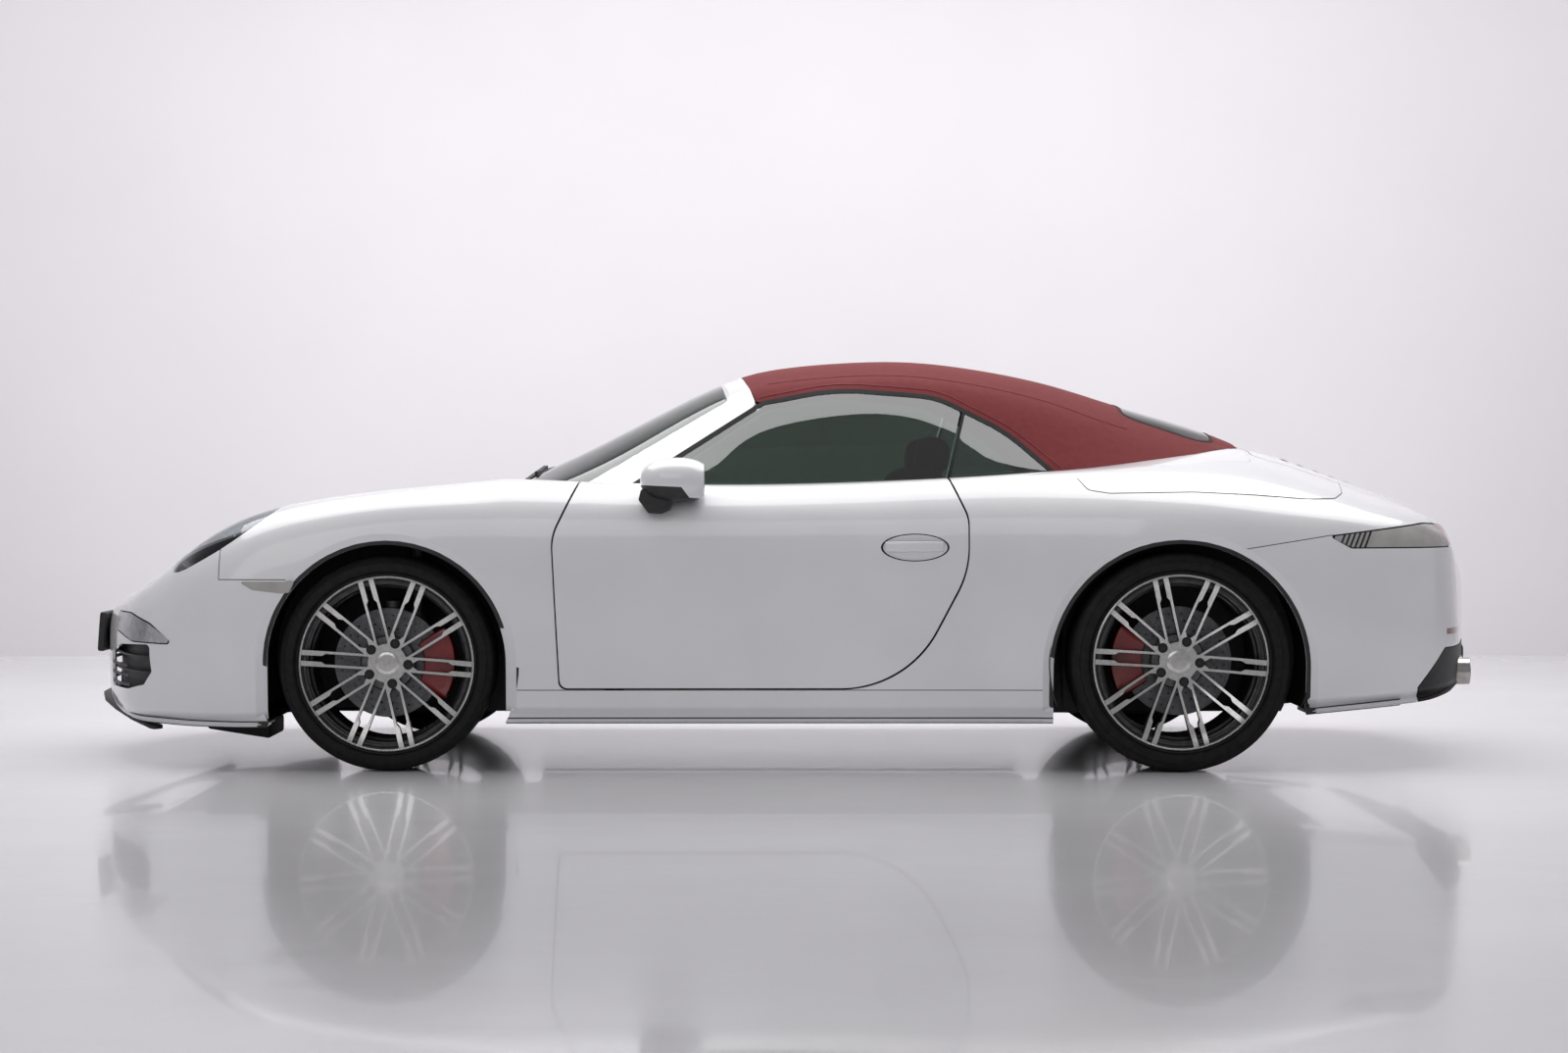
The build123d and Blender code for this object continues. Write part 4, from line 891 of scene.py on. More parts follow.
# --- doors: outer skin with the handle's recess, and the inner box behind it
left_door = meet(shell_of(body_solid, SKIN), side_prism(DOOR, DOOR_RADII, near=600))
handle_hit = body_solid.ray_cast(Vector((HANDLE[0] * MM, -2, HANDLE[1] * MM)), Vector((0, 1, 0)))
handle_y = (handle_hit[1] / MM).y
recess = (HANDLE[0], handle_y - RECESS_OUT, HANDLE[1])
# thin gloss-black ring on the recess's sloped wall: painted shade where the recess lies in shadow
recess_shade_ring = pebble(recess, [r + 0.35 for r in RECESS_RADII])
cut(left_door, copy_of(recess_shade_ring, "recess_cut"))
meet(recess_shade_ring, shell_of(body_solid, RECESS_SHADE_DEPTH))
cut(recess_shade_ring, pebble(recess, RECESS_RADII))
door_box = meet(offset(body_solid, -DOOR_BOX_IN, "core"), side_prism(DOOR_BOX, DOOR_BOX_RADII, near=DOOR_INNER_Y))

add_panel("front_lid_panel", front_lid, WHITE_PAINT, "front_lid", body="front_lid")
add_panel("engine_lid_panel", engine_lid, WHITE_PAINT, "engine_lid", body="engine_lid")
add_panel("top_lid_panel", top_lid, WHITE_PAINT, "top_compartment_lid")
add_panel("front_bumper_panel", front_bumper, WHITE_PAINT, "front_bumper")
add_panel("fender_panels", fenders, WHITE_PAINT, "front_fenders")
add_panel("quarter_panels", quarters, WHITE_PAINT)
add_panel("arch_lips", turn_in(arch_lips), WHITE_PAINT)
add_panel("skirt_panels", skirts, WHITE_PAINT, "side_skirts")
add_panel("rear_bumper_panel", rear_bumper, WHITE_PAINT, "rear_bumper", "rear_spoiler")
add_panel("rear_valance_panel", valance, BLACK_TRIM, "rear_valance")
add_panel("headlight_lenses", headlight_lens, CLEAR_LENS, "headlights")
add_panel("front_light_lenses", drl_lens, LAMP_SILVER, "front_light_units")
add("tail_lens_band", finish_panel(tail_lens, RED_LENS, SMOKED_LENS), "body", "tail_lights")
add_sides("door_skin_{}", finish_panel(left_door, WHITE_PAINT), "door_{}", "door_{}")
# the recess's ring of painted shade, in gloss black
add_sides("handle_rim_{}", dress(recess_shade_ring, GLOSS_BLACK), "door_{}")
add_sides("door_box_{}", finish_panel(door_box, WHITE_PAINT), "door_{}")

# --- dark liner behind the seams
backing_solid = master("backing_solid", STATIONS, BODY_SHARES, levels=2)
apply_modifier(backing_solid, "DISPLACE", strength=-BACKING_IN * MM, mid_level=0)
backing = shell_of(backing_solid, BACKING)
hollows = arch_cutters() + [
    door_tool(8), hood_tool(-BACKING_REACH), engine_tool(-BACKING_REACH, ENGINE_FLOOR + 1),
    block(*BACKING_OPENING), zone(*BACKING_TAIL),
]
cut(backing, merge(hollows, "hollows"), intake_tool(-4), pair(lamp_tool(-2)))
discard(backing_solid)
add("seam_backing", dress(backing, BLACK_TRIM), "body")

# --- the plain structure under the skin
structure = fix_normals(copy_of(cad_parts["body_shell"], "structure"))
meet(structure, offset(body_solid, -STRUCTURE_IN, "inner"))
add("body_structure", smooth(dress(structure, BLACK_TRIM)), "body", "body_shell")

# ------------------------------------------------------------------ glass and roof
PILLAR = [(-745, 822), (-171, 1160), (-207, 1222), (-240, 1400), (-152, 1400), (-150, 1242), (-116, 1192), (-94, 1138)]
PILLAR += [(-549, 838), (-610, 780)]
PILLAR_RADII = [1, 30, 30, 1, 1, 30, 40, 20, 40, 1]
SCREEN = [(-884, 700), (-760, 812), (-190, 1148), (-215, 1215), (-216, 1400), (-884, 1400)]
ROOF = [(-151, 1400), (-149, 1242), (-115, 1192), (-92, 1146), (160, 1190), (480, 1165), (700, 1050), (885, 880)]
ROOF += [(885, 600), (1478, 600), (1478, 1400)]
ROOF_RADII = [1, 30, 40, 8, 700, 300, 500, 8, 1, 1, 1]
SIDE_GLASS = [(-640, 770), (-519, 848), (-66, 1137), (160, 1180), (480, 1156), (556, 1116), (488, 860)]
SIDE_GLASS += [(488, 700), (-640, 700)]
SIDE_GLASS_RADII = [1, 1, 20, 700, 60, 14, 10, 1, 1]
QUARTER = [(499, 860), (570, 1112), (697, 1044), (876, 880), (876, 700), (499, 700)]
QUARTER_RADII = [1, 10, 400, 10, 1, 1]
REAR_WINDOW_PLAN = [(1100, 330), (1380, 400)]
REAR_WINDOW_RADII = [50, 70]
REAR_SEAL_RADII = [60, 80]
REAR_WINDOW_FLOOR = 800
FRAME_DEPTH, GLASS_DEPTH, LINING_DEPTH, SEAL_DEPTH = 24, 5, 12, 8  # thickness of each layer
CLOTH = 3.5  # outer cloth of the folding top
LINING_IN, SEAL_OUT = 6, 1.5  # the lining's and the seals' outer faces, in or out from the cloth's
HEM = 2.4  # width of the top's stitched hems
HEM_Y = 440  # the two lengthways hems
HEM_XS = (-95, 1090)  # the two hems across
WINDOW_LINE = [(-560, 832), (-72, 1144), (160, 1188), (480, 1163), (700, 1049), (884, 883)]
WINDOW_LINE_RADII = [0, 20, 700, 300, 500, 0]
EDGE_HEM = [(-90, 1160), (-72, 1166), (160, 1212), (490, 1186), (718, 1066), (905, 905)]
GLASS_SPLIT = [(566, 1113), (498, 862)]
QUARTER_BELT = [(500, 875), (872, 897)]
SEAL_LINES = [(WINDOW_LINE, WINDOW_LINE_RADII, 7), (GLASS_SPLIT, [0, 0], 5), (QUARTER_BELT, [0, 0], 6)]

top_solid = master("top_master", HOOPS, HOOP_SHARES, foot=FOOT_Z)
above = offset(body_solid, 0.6, "above")
lining_solid, seal_solid = offset(top_solid, -LINING_IN, "lining_solid"), offset(top_solid, SEAL_OUT, "seal_solid")
frame_skin, glass_skin, cloth_skin, lining, seal_skin = [
    cut(shell_of(solid, depth), above, keep=True) for solid, depth in (
        (top_solid, FRAME_DEPTH), (top_solid, GLASS_DEPTH), (top_solid, CLOTH), (lining_solid, LINING_DEPTH),
        (seal_solid, SEAL_DEPTH),
    )
]
discard(above, top_solid, lining_solid, seal_solid)


def rear_window_tool(gap, radii=REAR_WINDOW_RADII, floor=REAR_WINDOW_FLOOR):
    return plan_prism(grown(REAR_WINDOW_PLAN, gap), radii, floor)


screen_frame = meet(frame_skin, full(PILLAR, PILLAR_RADII))
windscreen = meeting(glass_skin, zone(*SCREEN))
soft_top = meet(cloth_skin, full(ROOF, ROOF_RADII))
meet(lining, full(spread(ROOF, -3), ROOF_RADII))
for layer in (soft_top, lining):
    cut(layer, rear_window_tool(1))
window_seal = pair(join([meeting(seal_skin, strip_prism(*line)) for line in SEAL_LINES], "seals"))
rear_seal = meeting(seal_skin, rear_window_tool(12, REAR_SEAL_RADII))
cut(rear_seal, rear_window_tool(-4, floor=REAR_WINDOW_FLOOR - 10))
hem_lines = [block(-60, 1100, y - HEM / 2, y + HEM / 2, 900, FAR - 5) for y in (-HEM_Y, HEM_Y)]
hem_lines += [block(x, x + HEM, -HEM_Y + 3, HEM_Y - 3, 901, FAR - 6) for x in HEM_XS]
top_hems = [meeting(seal_skin, line) for line in hem_lines]
top_hems.append(pair(meet(seal_skin, strip_prism(EDGE_HEM, WINDOW_LINE_RADII, 1.5))))
rear_window = meeting(glass_skin, rear_window_tool(0))
side_glass = meeting(glass_skin, side_prism(SIDE_GLASS, SIDE_GLASS_RADII, near=300))
quarter_glass = meet(glass_skin, side_prism(QUARTER, QUARTER_RADII, near=300))

add_panel("screen_frame", screen_frame, WHITE_PAINT, "windscreen_frame")
add_panel("windscreen_glass", windscreen, TINTED_GLASS, "windscreen")
fabric_top = add_panel("fabric_top", soft_top, FABRIC, "soft_top")
top_lining = add_panel("top_lining", lining, LINING_CLOTH)
add_panel("top_hems", join(top_hems, "hems"), HEM_CLOTH)
add_panel("window_seals", window_seal, RUBBER)
add_panel("rear_window_seal", rear_seal, RUBBER)
add_panel("rear_window_glass", rear_window, TINTED_GLASS, "rear_window")
add_sides("door_glass_{}_pane", finish_panel(side_glass, TINTED_GLASS), "door_{}", "door_glass_{}")
add_panel("quarter_glass", pair(quarter_glass), TINTED_GLASS, "quarter_windows")

# ------------------------------------------------------------------ wheels
RIM_LIP = 272
BARREL = 250
BEAD_INSET = 24
HUB_FACE = 58
HUB_FRONT = 80
SPOKE_BACK = 63
SPOKE_PAIRS = 10
SPOKE_OFFSET = 20
SPOKE_HALF = 3.6
SPOKE_FLARE = 11
SPOKE_START = math.radians(68)
BOSS = [(48, 24), (78, 24), (96, 17), (80, 6), (80, -6), (96, -17), (78, -24), (48, -24)]  # round a bolt hole
# (radius, y) points counted from the rim's lip and the flange, the bead or the tyre's side
RIM_FRONT = [(0, 0), (1, -5), (-1, -10), (-4, -11.5), (-7, -9), (-9, -1), (-18, 3), (-20, 14), (-28, 18), (-31, 40)]
RIM_FRONT += [(-38, 46)]
RIM_BACK = [(-40, -20), (-18, 6), (-6, 11), (-2, 10), (-3, 0)]
TYRE_BEAD = [(-3, -1), (3, -12), (7, -14), (10, -11.5)]
TYRE_WALL = [(16, 1.5), (28, 0), (38, 1.5), (40, 3.5), (42, 2.5)]
TYRE_SHOULDER = [(13, 7), (6, 13), (2.5, 22), (1, 34)]
BOLT_CIRCLE = 65
BOLTS = 5
BOLT_HOLE = 15.5
CAP_RADIUS = 38
DISC_RADIUS = 170
DISC_WIDTH = 32
DISC_HOLE_DOTS = (106, 126, 146)  # radii of the disc's three rings of drilled holes, drawn as black dots of painted shade
CALLIPER_RADII = (112, 208)
CALLIPER_HALF = math.radians(33)
THROUGH = 150  # half the length of a tool along the axle
FACED_Y = -0.070  # the spokes' fronts are machined from here outwards; m


def turned_outline(points, angle):
    """A plan outline turned about the wheel's centre."""
    c, s = math.cos(angle), math.sin(angle)
    return [(c * u - s * v, s * u + c * v) for u, v in points]


def wheel_prism(points, low=-THROUGH, high=THROUGH):
    """Outline in the wheel's plane, extruded along the axle."""
    return prism(points, lambda p: (p[0], low, p[1]), (0, high - low, 0))


def around(radius, start, count):
    """Places evenly round the wheel's centre."""
    angles = [start + 2 * math.pi * k / count for k in range(count)]
    return [(radius * math.cos(a), radius * math.sin(a)) for a in angles]


def spoke_pattern(bore):
    """Star of twin spokes, hub and bolt bosses, seen along the axle."""
    tools = [drum(0, 0, 60, -THROUGH, THROUGH, 64)]
    inner, outer = SPOKE_OFFSET - SPOKE_HALF, SPOKE_OFFSET + SPOKE_HALF
    spoke = [
        (30, outer), (bore, outer + 1), (bore, outer - SPOKE_FLARE - 4), (202, inner - 7), (190, inner), (30, inner)
    ]
    for i in range(SPOKE_PAIRS):
        angle = SPOKE_START + i * 2 * math.pi / SPOKE_PAIRS
        for side in (1, -1):
            tools.append(wheel_prism(turned_outline([(u, side * v) for u, v in spoke], angle)))
        if i % 2 == 0:
            tools.append(wheel_prism(turned_outline(BOSS, angle)))
    return merge(tools, "spoke_pattern")


def make_rim(axle):
    """Left rim about the origin: stepped barrel, bright lip and twin spokes with machined faces."""
    flange = axle.width / 2 - BEAD_INSET + 0.3
    barrel = lathe([
        *((RIM_LIP + dr, dy - flange) for dr, dy in RIM_FRONT), *((RIM_LIP + dr, flange + dy) for dr, dy in RIM_BACK),
        (BARREL, flange), (BARREL, -flange),
    ], 144)
    disc = lathe([
        (0, -HUB_FACE), (85, -HUB_FACE), (100, -SPOKE_BACK), (214, -SPOKE_BACK - 2), (238, -flange + 34),
        (246, -flange + 26), (264, -flange + 6), (264, -flange - 6), (246, -flange - 4),
        *((r, -HUB_FRONT - (flange + 4 - HUB_FRONT) * ((r - 72) / 174) ** 1.7) for r in (220, 190, 150, 110)),
        (72, -HUB_FRONT), (0, -HUB_FRONT),
    ], 144)
    spokes = meet(disc, spoke_pattern(266))
    holes = [drum(u, v, BOLT_HOLE, -THROUGH, -HUB_FACE - 8, 32) for u, v in around(BOLT_CIRCLE, SPOKE_START, BOLTS)]
    cut(spokes, join(holes, "bolt_holes"))
    for obj in (barrel, spokes):
        dress(obj, DARK_METAL, SILVER)
    paint_faces(spokes, 1, lambda f: f.normal.y < -0.6 and f.center.y < FACED_Y)
    lip = (RIM_LIP - 10) * MM
    paint_faces(barrel, 1, lambda f: math.hypot(f.center.x, f.center.z) > lip and f.center.y < (-flange - 4) * MM)
    return smooth(join([barrel, spokes], "rim"), 28)


def make_hub_trim():
    """Plain centre cap and the five dark wheel bolts."""
    cap = dress(lathe(
        [(0, -84), (24, -84.5), (34, -83.5), (CAP_RADIUS, -81), (CAP_RADIUS, -76), (0, -76)], 64
    ), SILVER)
    bolts = []
    for u, v in around(BOLT_CIRCLE, SPOKE_START, BOLTS):
        for radius, back, front, vertices in ((9.5, 0, 12, 6), (13.5, -2, 3, 32)):  # the head and its seat
            bolts.append(tilted_drum((u, -HUB_FACE - 8, v), (0, -1, 0), radius, back, front, vertices))
    return smooth(join([cap, dress(join(bolts, "bolts"), GLOSS_BLACK)], "hub_trim"), 30)


def make_tyre(axle):
    """Left tyre about the origin, with a rim protector, rounded shoulders and four tread grooves."""
    half, r = axle.width / 2, axle.z
    bead = half - BEAD_INSET
    outside = [
        (BARREL + 1, -bead), *((RIM_LIP + dr, dy - bead) for dr, dy in TYRE_BEAD),
        *((RIM_LIP + dr, dy - half) for dr, dy in TYRE_WALL), *((r - dr, dy - half) for dr, dy in TYRE_SHOULDER),
    ]
    for groove in (-0.30, -0.10):  # as shares of the width
        y = groove * axle.width
        outside += [(r - 0.3, y - 5.5), (r - 7, y - 4.5), (r - 7, y + 4.5), (r - 0.1, y + 5.5)]
    profile = outside + [(q, -y) for q, y in reversed(outside)]
    profile += [(BARREL + 1, bead - 14), (r - 13, half - 26), (r - 13, -half + 26), (BARREL + 1, -bead + 14)]
    return dress(smooth(lathe(profile, 160), 35), RUBBER)


def make_disc():
    """Brake disc with its hat, in metal darkened as painted shade; its drilled holes are black dots of painted shade on
    its outer face.
    """
    disc = lathe([
        (36, -HUB_FACE + 1), (82, -HUB_FACE + 1), (86, -HUB_FACE + 5), (86, -DISC_WIDTH),
        (DISC_RADIUS - 1.5, -DISC_WIDTH), (DISC_RADIUS, -DISC_WIDTH + 1.5), (DISC_RADIUS, -1.5), (DISC_RADIUS - 1.5, 0),
        (80, 0), (80, -HUB_FACE + 9), (36, -HUB_FACE + 9),
    ], 128)
    # the holes are not cut: thin gloss-black dots on the disc's outer face stand for them, as painted shade
    holes = [tilted_drum((u, -DISC_WIDTH, v), (0, -1, 0), 3.4, -0.5, 0.25, 10)
             for ring, radius in enumerate(DISC_HOLE_DOTS) for u, v in around(radius, math.pi * ring / 36, 24)]
    return smooth(join([dress(disc, SHADED_DISC_METAL), dress(join(holes, "holes"), GLOSS_BLACK)], "brake_disc"), 30)


def make_calliper(direction):
    """Red six-piston calliper astride the disc, its red darkened as painted shade; direction is +1 behind the axle, -1
    ahead of it.
    """
    steps, outline = 14, []
    for radius, turn in zip(reversed(CALLIPER_RADII), (1, -1)):
        angles = [turn * CALLIPER_HALF * (2 * k / steps - 1) for k in range(steps + 1)]
        outline += [(direction * radius * math.cos(a), radius * math.sin(a)) for a in angles]
    body = wheel_prism(outline, -56, 24)
    cut(body, drum(0, 0, DISC_RADIUS + 8, -DISC_WIDTH - 5, 5))
    parts = [bevelled(body, 6, angle=40)]
    for a in (-0.36, 0.0, 0.36):
        centre = (direction * 168 * math.cos(a), -56, 168 * math.sin(a))
        parts.append(tilted_drum(centre, (0, -1, 0), 21, -3, 2, 40))
    return dress(smooth(join(parts, "calliper"), 30), SHADED_RED_ENAMEL)


def at_wheel(obj, axle, side):
    """A wheel piece made about the origin, at its corner of the car."""
    twin = copy_of(obj, "twin") if side == LEFT else mirrored(obj, "twin")
    twin.data.transform(Matrix.Translation(Vector((axle.x, side * axle.track / 2, axle.z)) * MM))
    return twin


hub_trim, brake_disc = make_hub_trim(), make_disc()
for axle in (FRONT, REAR):
    rim, tyre = make_rim(axle), make_tyre(axle)
    calliper = make_calliper(1 if axle is FRONT else -1)
    for side, side_name in ((LEFT, "left"), (RIGHT, "right")):
        place = f"{axle.name}_{side_name}"
        wheel = f"wheel_{place}"
        add(f"rim_{place}_alloy", at_wheel(rim, axle, side), wheel, f"rim_{place}")
        add(f"hub_trim_{place}", at_wheel(hub_trim, axle, side), wheel)
        add(f"tyre_{place}_rubber", at_wheel(tyre, axle, side), wheel, f"tyre_{place}")
        add(f"disc_{place}", at_wheel(brake_disc, axle, side), wheel, f"brake_disc_{place}")
        carrier = f"knuckle_{side_name}" if axle is FRONT else "body"
        add(f"calliper_{place}", at_wheel(calliper, axle, side), carrier)
    discard(rim, tyre, calliper)
discard(hub_trim, brake_disc)
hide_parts("front_calliper_left")
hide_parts("front_calliper_right")
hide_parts("rear_callipers")


# ------------------------------------------------------------------ door handles and mirrors
# about the middle of the recess
HANDLE_BAR = (-90, 92, -5, 5, -15, 17)
HANDLE_FEET = [(x, x + 16, 0, 12, -8, 10) for x in (-80, 66)]
HANDLE_ROUNDING = 4.8
MIRROR_MIDDLE = (-338, -893, 899)
MIRROR_RADII = (112, 96, 69)
MIRROR_SQUARENESS = 0.86
MIRROR_WALL = 7
MIRROR_FACE_X = -252
MIRROR_BASE = [(-500, 800), (-500, 886), (-320, 878), (-296, 845), (-200, 836), (-200, 800)]
MIRROR_FOOT = [(-454, 838), (-446, 872), (-330, 880), (-300, 850), (-345, 834), (-358, 806), (-382, 795), (-424, 797)]


def make_handle():
    """Left door handle: a rounded pull bar on two feet over its recess."""
    parts = [block(*span) for span in (HANDLE_BAR, *HANDLE_FEET)]
    bevelled(parts[0], HANDLE_ROUNDING)
    made = smooth(dress(join(parts, "handle"), WHITE_PAINT))
    made.data.transform(Matrix.Translation(Vector((HANDLE[0], handle_y, HANDLE[1])) * MM))
    return made


def behind_mirror(x0, x1, out=0):
    """Block round the left mirror, from one x to another."""
    return block(x0, x1, -1100 - out, -700 - out, 700 + out, 1000 + out)


def make_mirror():
    """Left door mirror: painted cap, black base and foot, and its glass."""
    cap = pebble(MIRROR_MIDDLE, MIRROR_RADII, MIRROR_SQUARENESS)
    hollow = pebble(MIRROR_MIDDLE, [r - MIRROR_WALL for r in MIRROR_RADII], MIRROR_SQUARENESS)
    glass = meeting(hollow, behind_mirror(MIRROR_FACE_X - 14, MIRROR_FACE_X - 10))
    meet(hollow, behind_mirror(MIRROR_FACE_X - 12, 0, 1))
    cut(cap, behind_mirror(MIRROR_FACE_X, 0), hollow)
    base_zone = prism(MIRROR_BASE, lambda p: (p[0], -1200, p[1]), (0, 600, 0))
    base = meeting(cap, copy_of(base_zone, "zone"))
    cut(cap, base_zone)
    foot = bevelled(side_prism(MIRROR_FOOT, [10] * len(MIRROR_FOOT), near=870, far=935), 8)
    parts = [dress(cap, WHITE_PAINT), dress(glass, MIRROR_GLASS), dress(base, BLACK_TRIM), dress(foot, BLACK_TRIM)]
    return smooth(join(parts, "mirror"), 40)


add_sides("door_handle_{}_side", make_handle(), "door_{}")
add_sides("mirror_{}_side", make_mirror(), "door_{}", "mirror_{}")

# ------------------------------------------------------------------ lamps
BOWL_IN = 12  # the lamp's bowl ends this far inside the skin
HEADLAMPS = (((0, 5), 42), ((52, -84), 20), ((-48, -90), 20), ((2, 104), 18))  # place across the axis, radius
PROJECTOR = 30  # a lamp larger than this has a dark lens
MARKER = [(-1690, 586), (-1645, 560), (-1560, 550), (-1530, 552), (-1515, 586)]
MARKER_RADII = [4, 30, 40, 8, 3]
SLATS = range(1700, 1790, 16)
SLAT_WIDTH, SLAT_LEAN, SLAT_TOP = 7, 40, 780
REFLECTOR_Y, REFLECTOR_HALF = 690, 75
PROUD = 0.8  # how far the pieces on the skin stand out
SILVER_LENS_Y = 700  # the tail lamp is clear from here out to its side


def make_headlight():
    """Left headlight's inside: a dark bowl, one projector and three smaller lamps, each lamp in a bright ring."""
    bowl = lamp_tool(-3, -75, 100)
    meet(bowl, offset(body_solid, -BOWL_IN, "bowl_solid"))
    cut(bowl, lamp_tool(-14, -60, 160))
    parts = [dress(bowl, LAMP_DARK)]
    turn = Vector(LAMP_AXIS).to_track_quat("Z", "Y")
    for (u, v), radius in HEADLAMPS:
        place = Vector(LAMP_CENTRE) + turn @ Vector((u, v, 0))
        ring = tilted_drum(place, LAMP_AXIS, radius, -60, -14, 48)
        cut(ring, tilted_drum(place, LAMP_AXIS, radius - 5, -40, 10, 48))
        parts.append(dress(bevelled(ring, 1.5, 2), LAMP_SILVER))
        lens = pebble(place + turn @ Vector((0, 0, -40)), (radius - 6,) * 3, segments=32)
        parts.append(dress(lens, GLOSS_BLACK if radius > PROJECTOR else LIGHT_BAR))
    return smooth(join(parts, "headlight"), 35)


def slat_outline(x):
    low = 690 + (SLATS.stop - x) * 0.02
    top = x + SLAT_LEAN
    return [(x, low), (x + SLAT_WIDTH, low), (top + SLAT_WIDTH, SLAT_TOP), (top, SLAT_TOP)]


proud_solid = offset(body_solid, PROUD, "proud")
proud_skin = shell_of(proud_solid, 5)
marker_lamps = pair(meeting(proud_skin, side_prism(MARKER, MARKER_RADII, near=600)))
slat_tool = join([side_prism(slat_outline(x), [0] * 4, near=500) for x in SLATS], "slats")
meet(slat_tool, full(spread(TAIL_LIGHT, -4), TAIL_LIGHT_RADII))
tail_slats = pair(meeting(proud_skin, slat_tool))
reflectors = meet(proud_skin, join([
    block(1990, 2300, side * REFLECTOR_Y - REFLECTOR_HALF, side * REFLECTOR_Y + REFLECTOR_HALF, 418, 436)
    for side in (LEFT, RIGHT)
], "reflectors"))
discard(proud_solid)
add_panel("marker_lamps", marker_lamps, SMOKED_LENS)
paint_faces(pieces["tail_lens_band"], 1, lambda f: abs(f.center.y) > SILVER_LENS_Y * MM)
add_panel("tail_lamp_slats", tail_slats, LAMP_DARK)
add_panel("rear_reflectors", reflectors, RED_LENS)
add_sides("headlight_inside_{}", make_headlight(), "body")

# ------------------------------------------------------------------ nose, tail and sills
INNER_WALL = 4  # thickness of the plain panels inside the skin
INTAKE_BAR = (14, 7)  # depth and height of a bar
INTAKE_BAR_HEIGHTS = (292, 342)
INTAKE_BAR_IN, INTAKE_WALL_IN = 16, 40  # how far in they lie
INTAKE_BAR_SPAN = (-2200, -1955, -770, -340)
INTAKE_WALL_SPAN = (-2230, -1900, -760, 760, 160, 425)
LIP = [
    (-2258, 1), (-2250, 170), (-2215, 320), (-2150, 480), (-2070, 630), (-1985, 735),
    (-1950, 700), (-2040, 560), (-2120, 400), (-2180, 1),
]
LIP_RADII = [1, 60, 120, 200, 200, 30, 30, 200, 200, 1]
LIP_LOW, LIP_HIGH = 118, 130
LIP_START, LIP_RISE = -1985, 0.27  # the lip rises ahead of this x, by this much of the way
PLATE_SIZE = (520, 112)  # width and height of a blank number plate
PLATE_RIM = 8
PLATE_PLACE = (-2236, 0, 402)
PLATE_LEAN = math.radians(4)
FLAP = (-1800, -1602, -800, -520, 96, 152)
FLAP_NOTCH = (-1700, 130, 28)  # ahead of this x and below this z, the flap is drawn up by this
HOUSE_WALL, HOUSE_WALL_GAP = 6, 8  # a wheel house's inner wall, and its distance from the house's end
HOUSE_WALL_LOW, HOUSE_WALL_HIGH = 165, 760
COWL = (-911, -600, -636, 636, 700, FAR)
WIPER_X, WIPER_YS = -862, (-330, 70)
WIPER_PLACES = ((-800, 300, 16), (-815, 60, 9), (-785, 560, 9))  # arm's end, blade's ends: x, y from pivot, height
WIPER_ARM, WIPER_BLADE = (14, 9), (9, 15)  # width and height
PIPE_END, PIPE_RADIUS, BORE_RADIUS = 2080, 43, 39.5


def make_intake_bars():
    """Two slim bars across each outer intake, behind the bumper's skin."""
    inner = offset(body_solid, -INTAKE_BAR_IN, "inner")
    levels = [block(*INTAKE_BAR_SPAN, z, z + INTAKE_BAR[1]) for z in INTAKE_BAR_HEIGHTS]
    bars = meet(shell_of(inner, INTAKE_BAR[0]), join(levels, "levels"))
    discard(inner)
    return pair(bars)


def make_intake_backing():
    """Dark wall deep inside the air intakes."""
    deep = offset(body_solid, -INTAKE_WALL_IN, "deep")
    wall = meet(shell_of(deep, INNER_WALL), block(*INTAKE_WALL_SPAN))
    discard(deep)
    return wall


def make_lip():
    """Black lip round the foot of the nose, rising to the front."""
    lip = plan_prism(LIP, LIP_RADII, LIP_LOW, LIP_HIGH)
    for vertex in lip.data.vertices:
        vertex.co.z += max(0, LIP_START * MM - vertex.co.x) * LIP_RISE
    return bevelled(lip, 3, 2)


def make_plate():
    """Blank number plate on its black holder."""
    half, height = PLATE_SIZE[0] / 2, PLATE_SIZE[1] / 2
    wide, high = half + PLATE_RIM, height + PLATE_RIM
    holder = bevelled(block(-12, 10, -wide, wide, -high, high), 6)
    face = bevelled(block(-14, -10, -half, half, -height, height), 1.2, 2)
    plate = join([dress(holder, BLACK_TRIM), dress(face, PLATE_BLANK)], "plate")
    plate.data.transform(Matrix.Translation(Vector(PLATE_PLACE) * MM) @ Matrix.Rotation(PLATE_LEAN, 4, "Y"))
    return smooth(plate)


def make_flaps():
    """Rubber flaps that hang ahead of the front wheels."""
    flap = bevelled(block(*FLAP), 10)
    notch_x, notch_z, lift = (size * MM for size in FLAP_NOTCH)
    for vertex in flap.data.vertices:
        if vertex.co.x < notch_x and vertex.co.z < notch_z:
            vertex.co.z += lift
    return pair(flap)


def make_house_walls():
    """Dark inner walls of the wheel houses."""
    walls = []
    for axle in (FRONT, REAR):
        near, radius = axle.house_inner - HOUSE_WALL_GAP, axle.house_radius - HOUSE_WALL_GAP
        wall = drum(axle.x, axle.z, radius, -near - HOUSE_WALL, -near)
        span = (axle.x - 500, axle.x + 500, -near - 20, -near + 20)
        walls.append(meet(wall, block(*span, HOUSE_WALL_LOW, HOUSE_WALL_HIGH)))
    return pair(join(walls, "walls"))


def height_at(x, y, *solids):
    """Height of the highest of some pieces over (x, y)."""
    hits = [solid.ray_cast(Vector((x * MM, y * MM, 2)), Vector((0, 0, -1))) for solid in solids]
    return max(hit[1].z for hit in hits if hit[0]) / MM


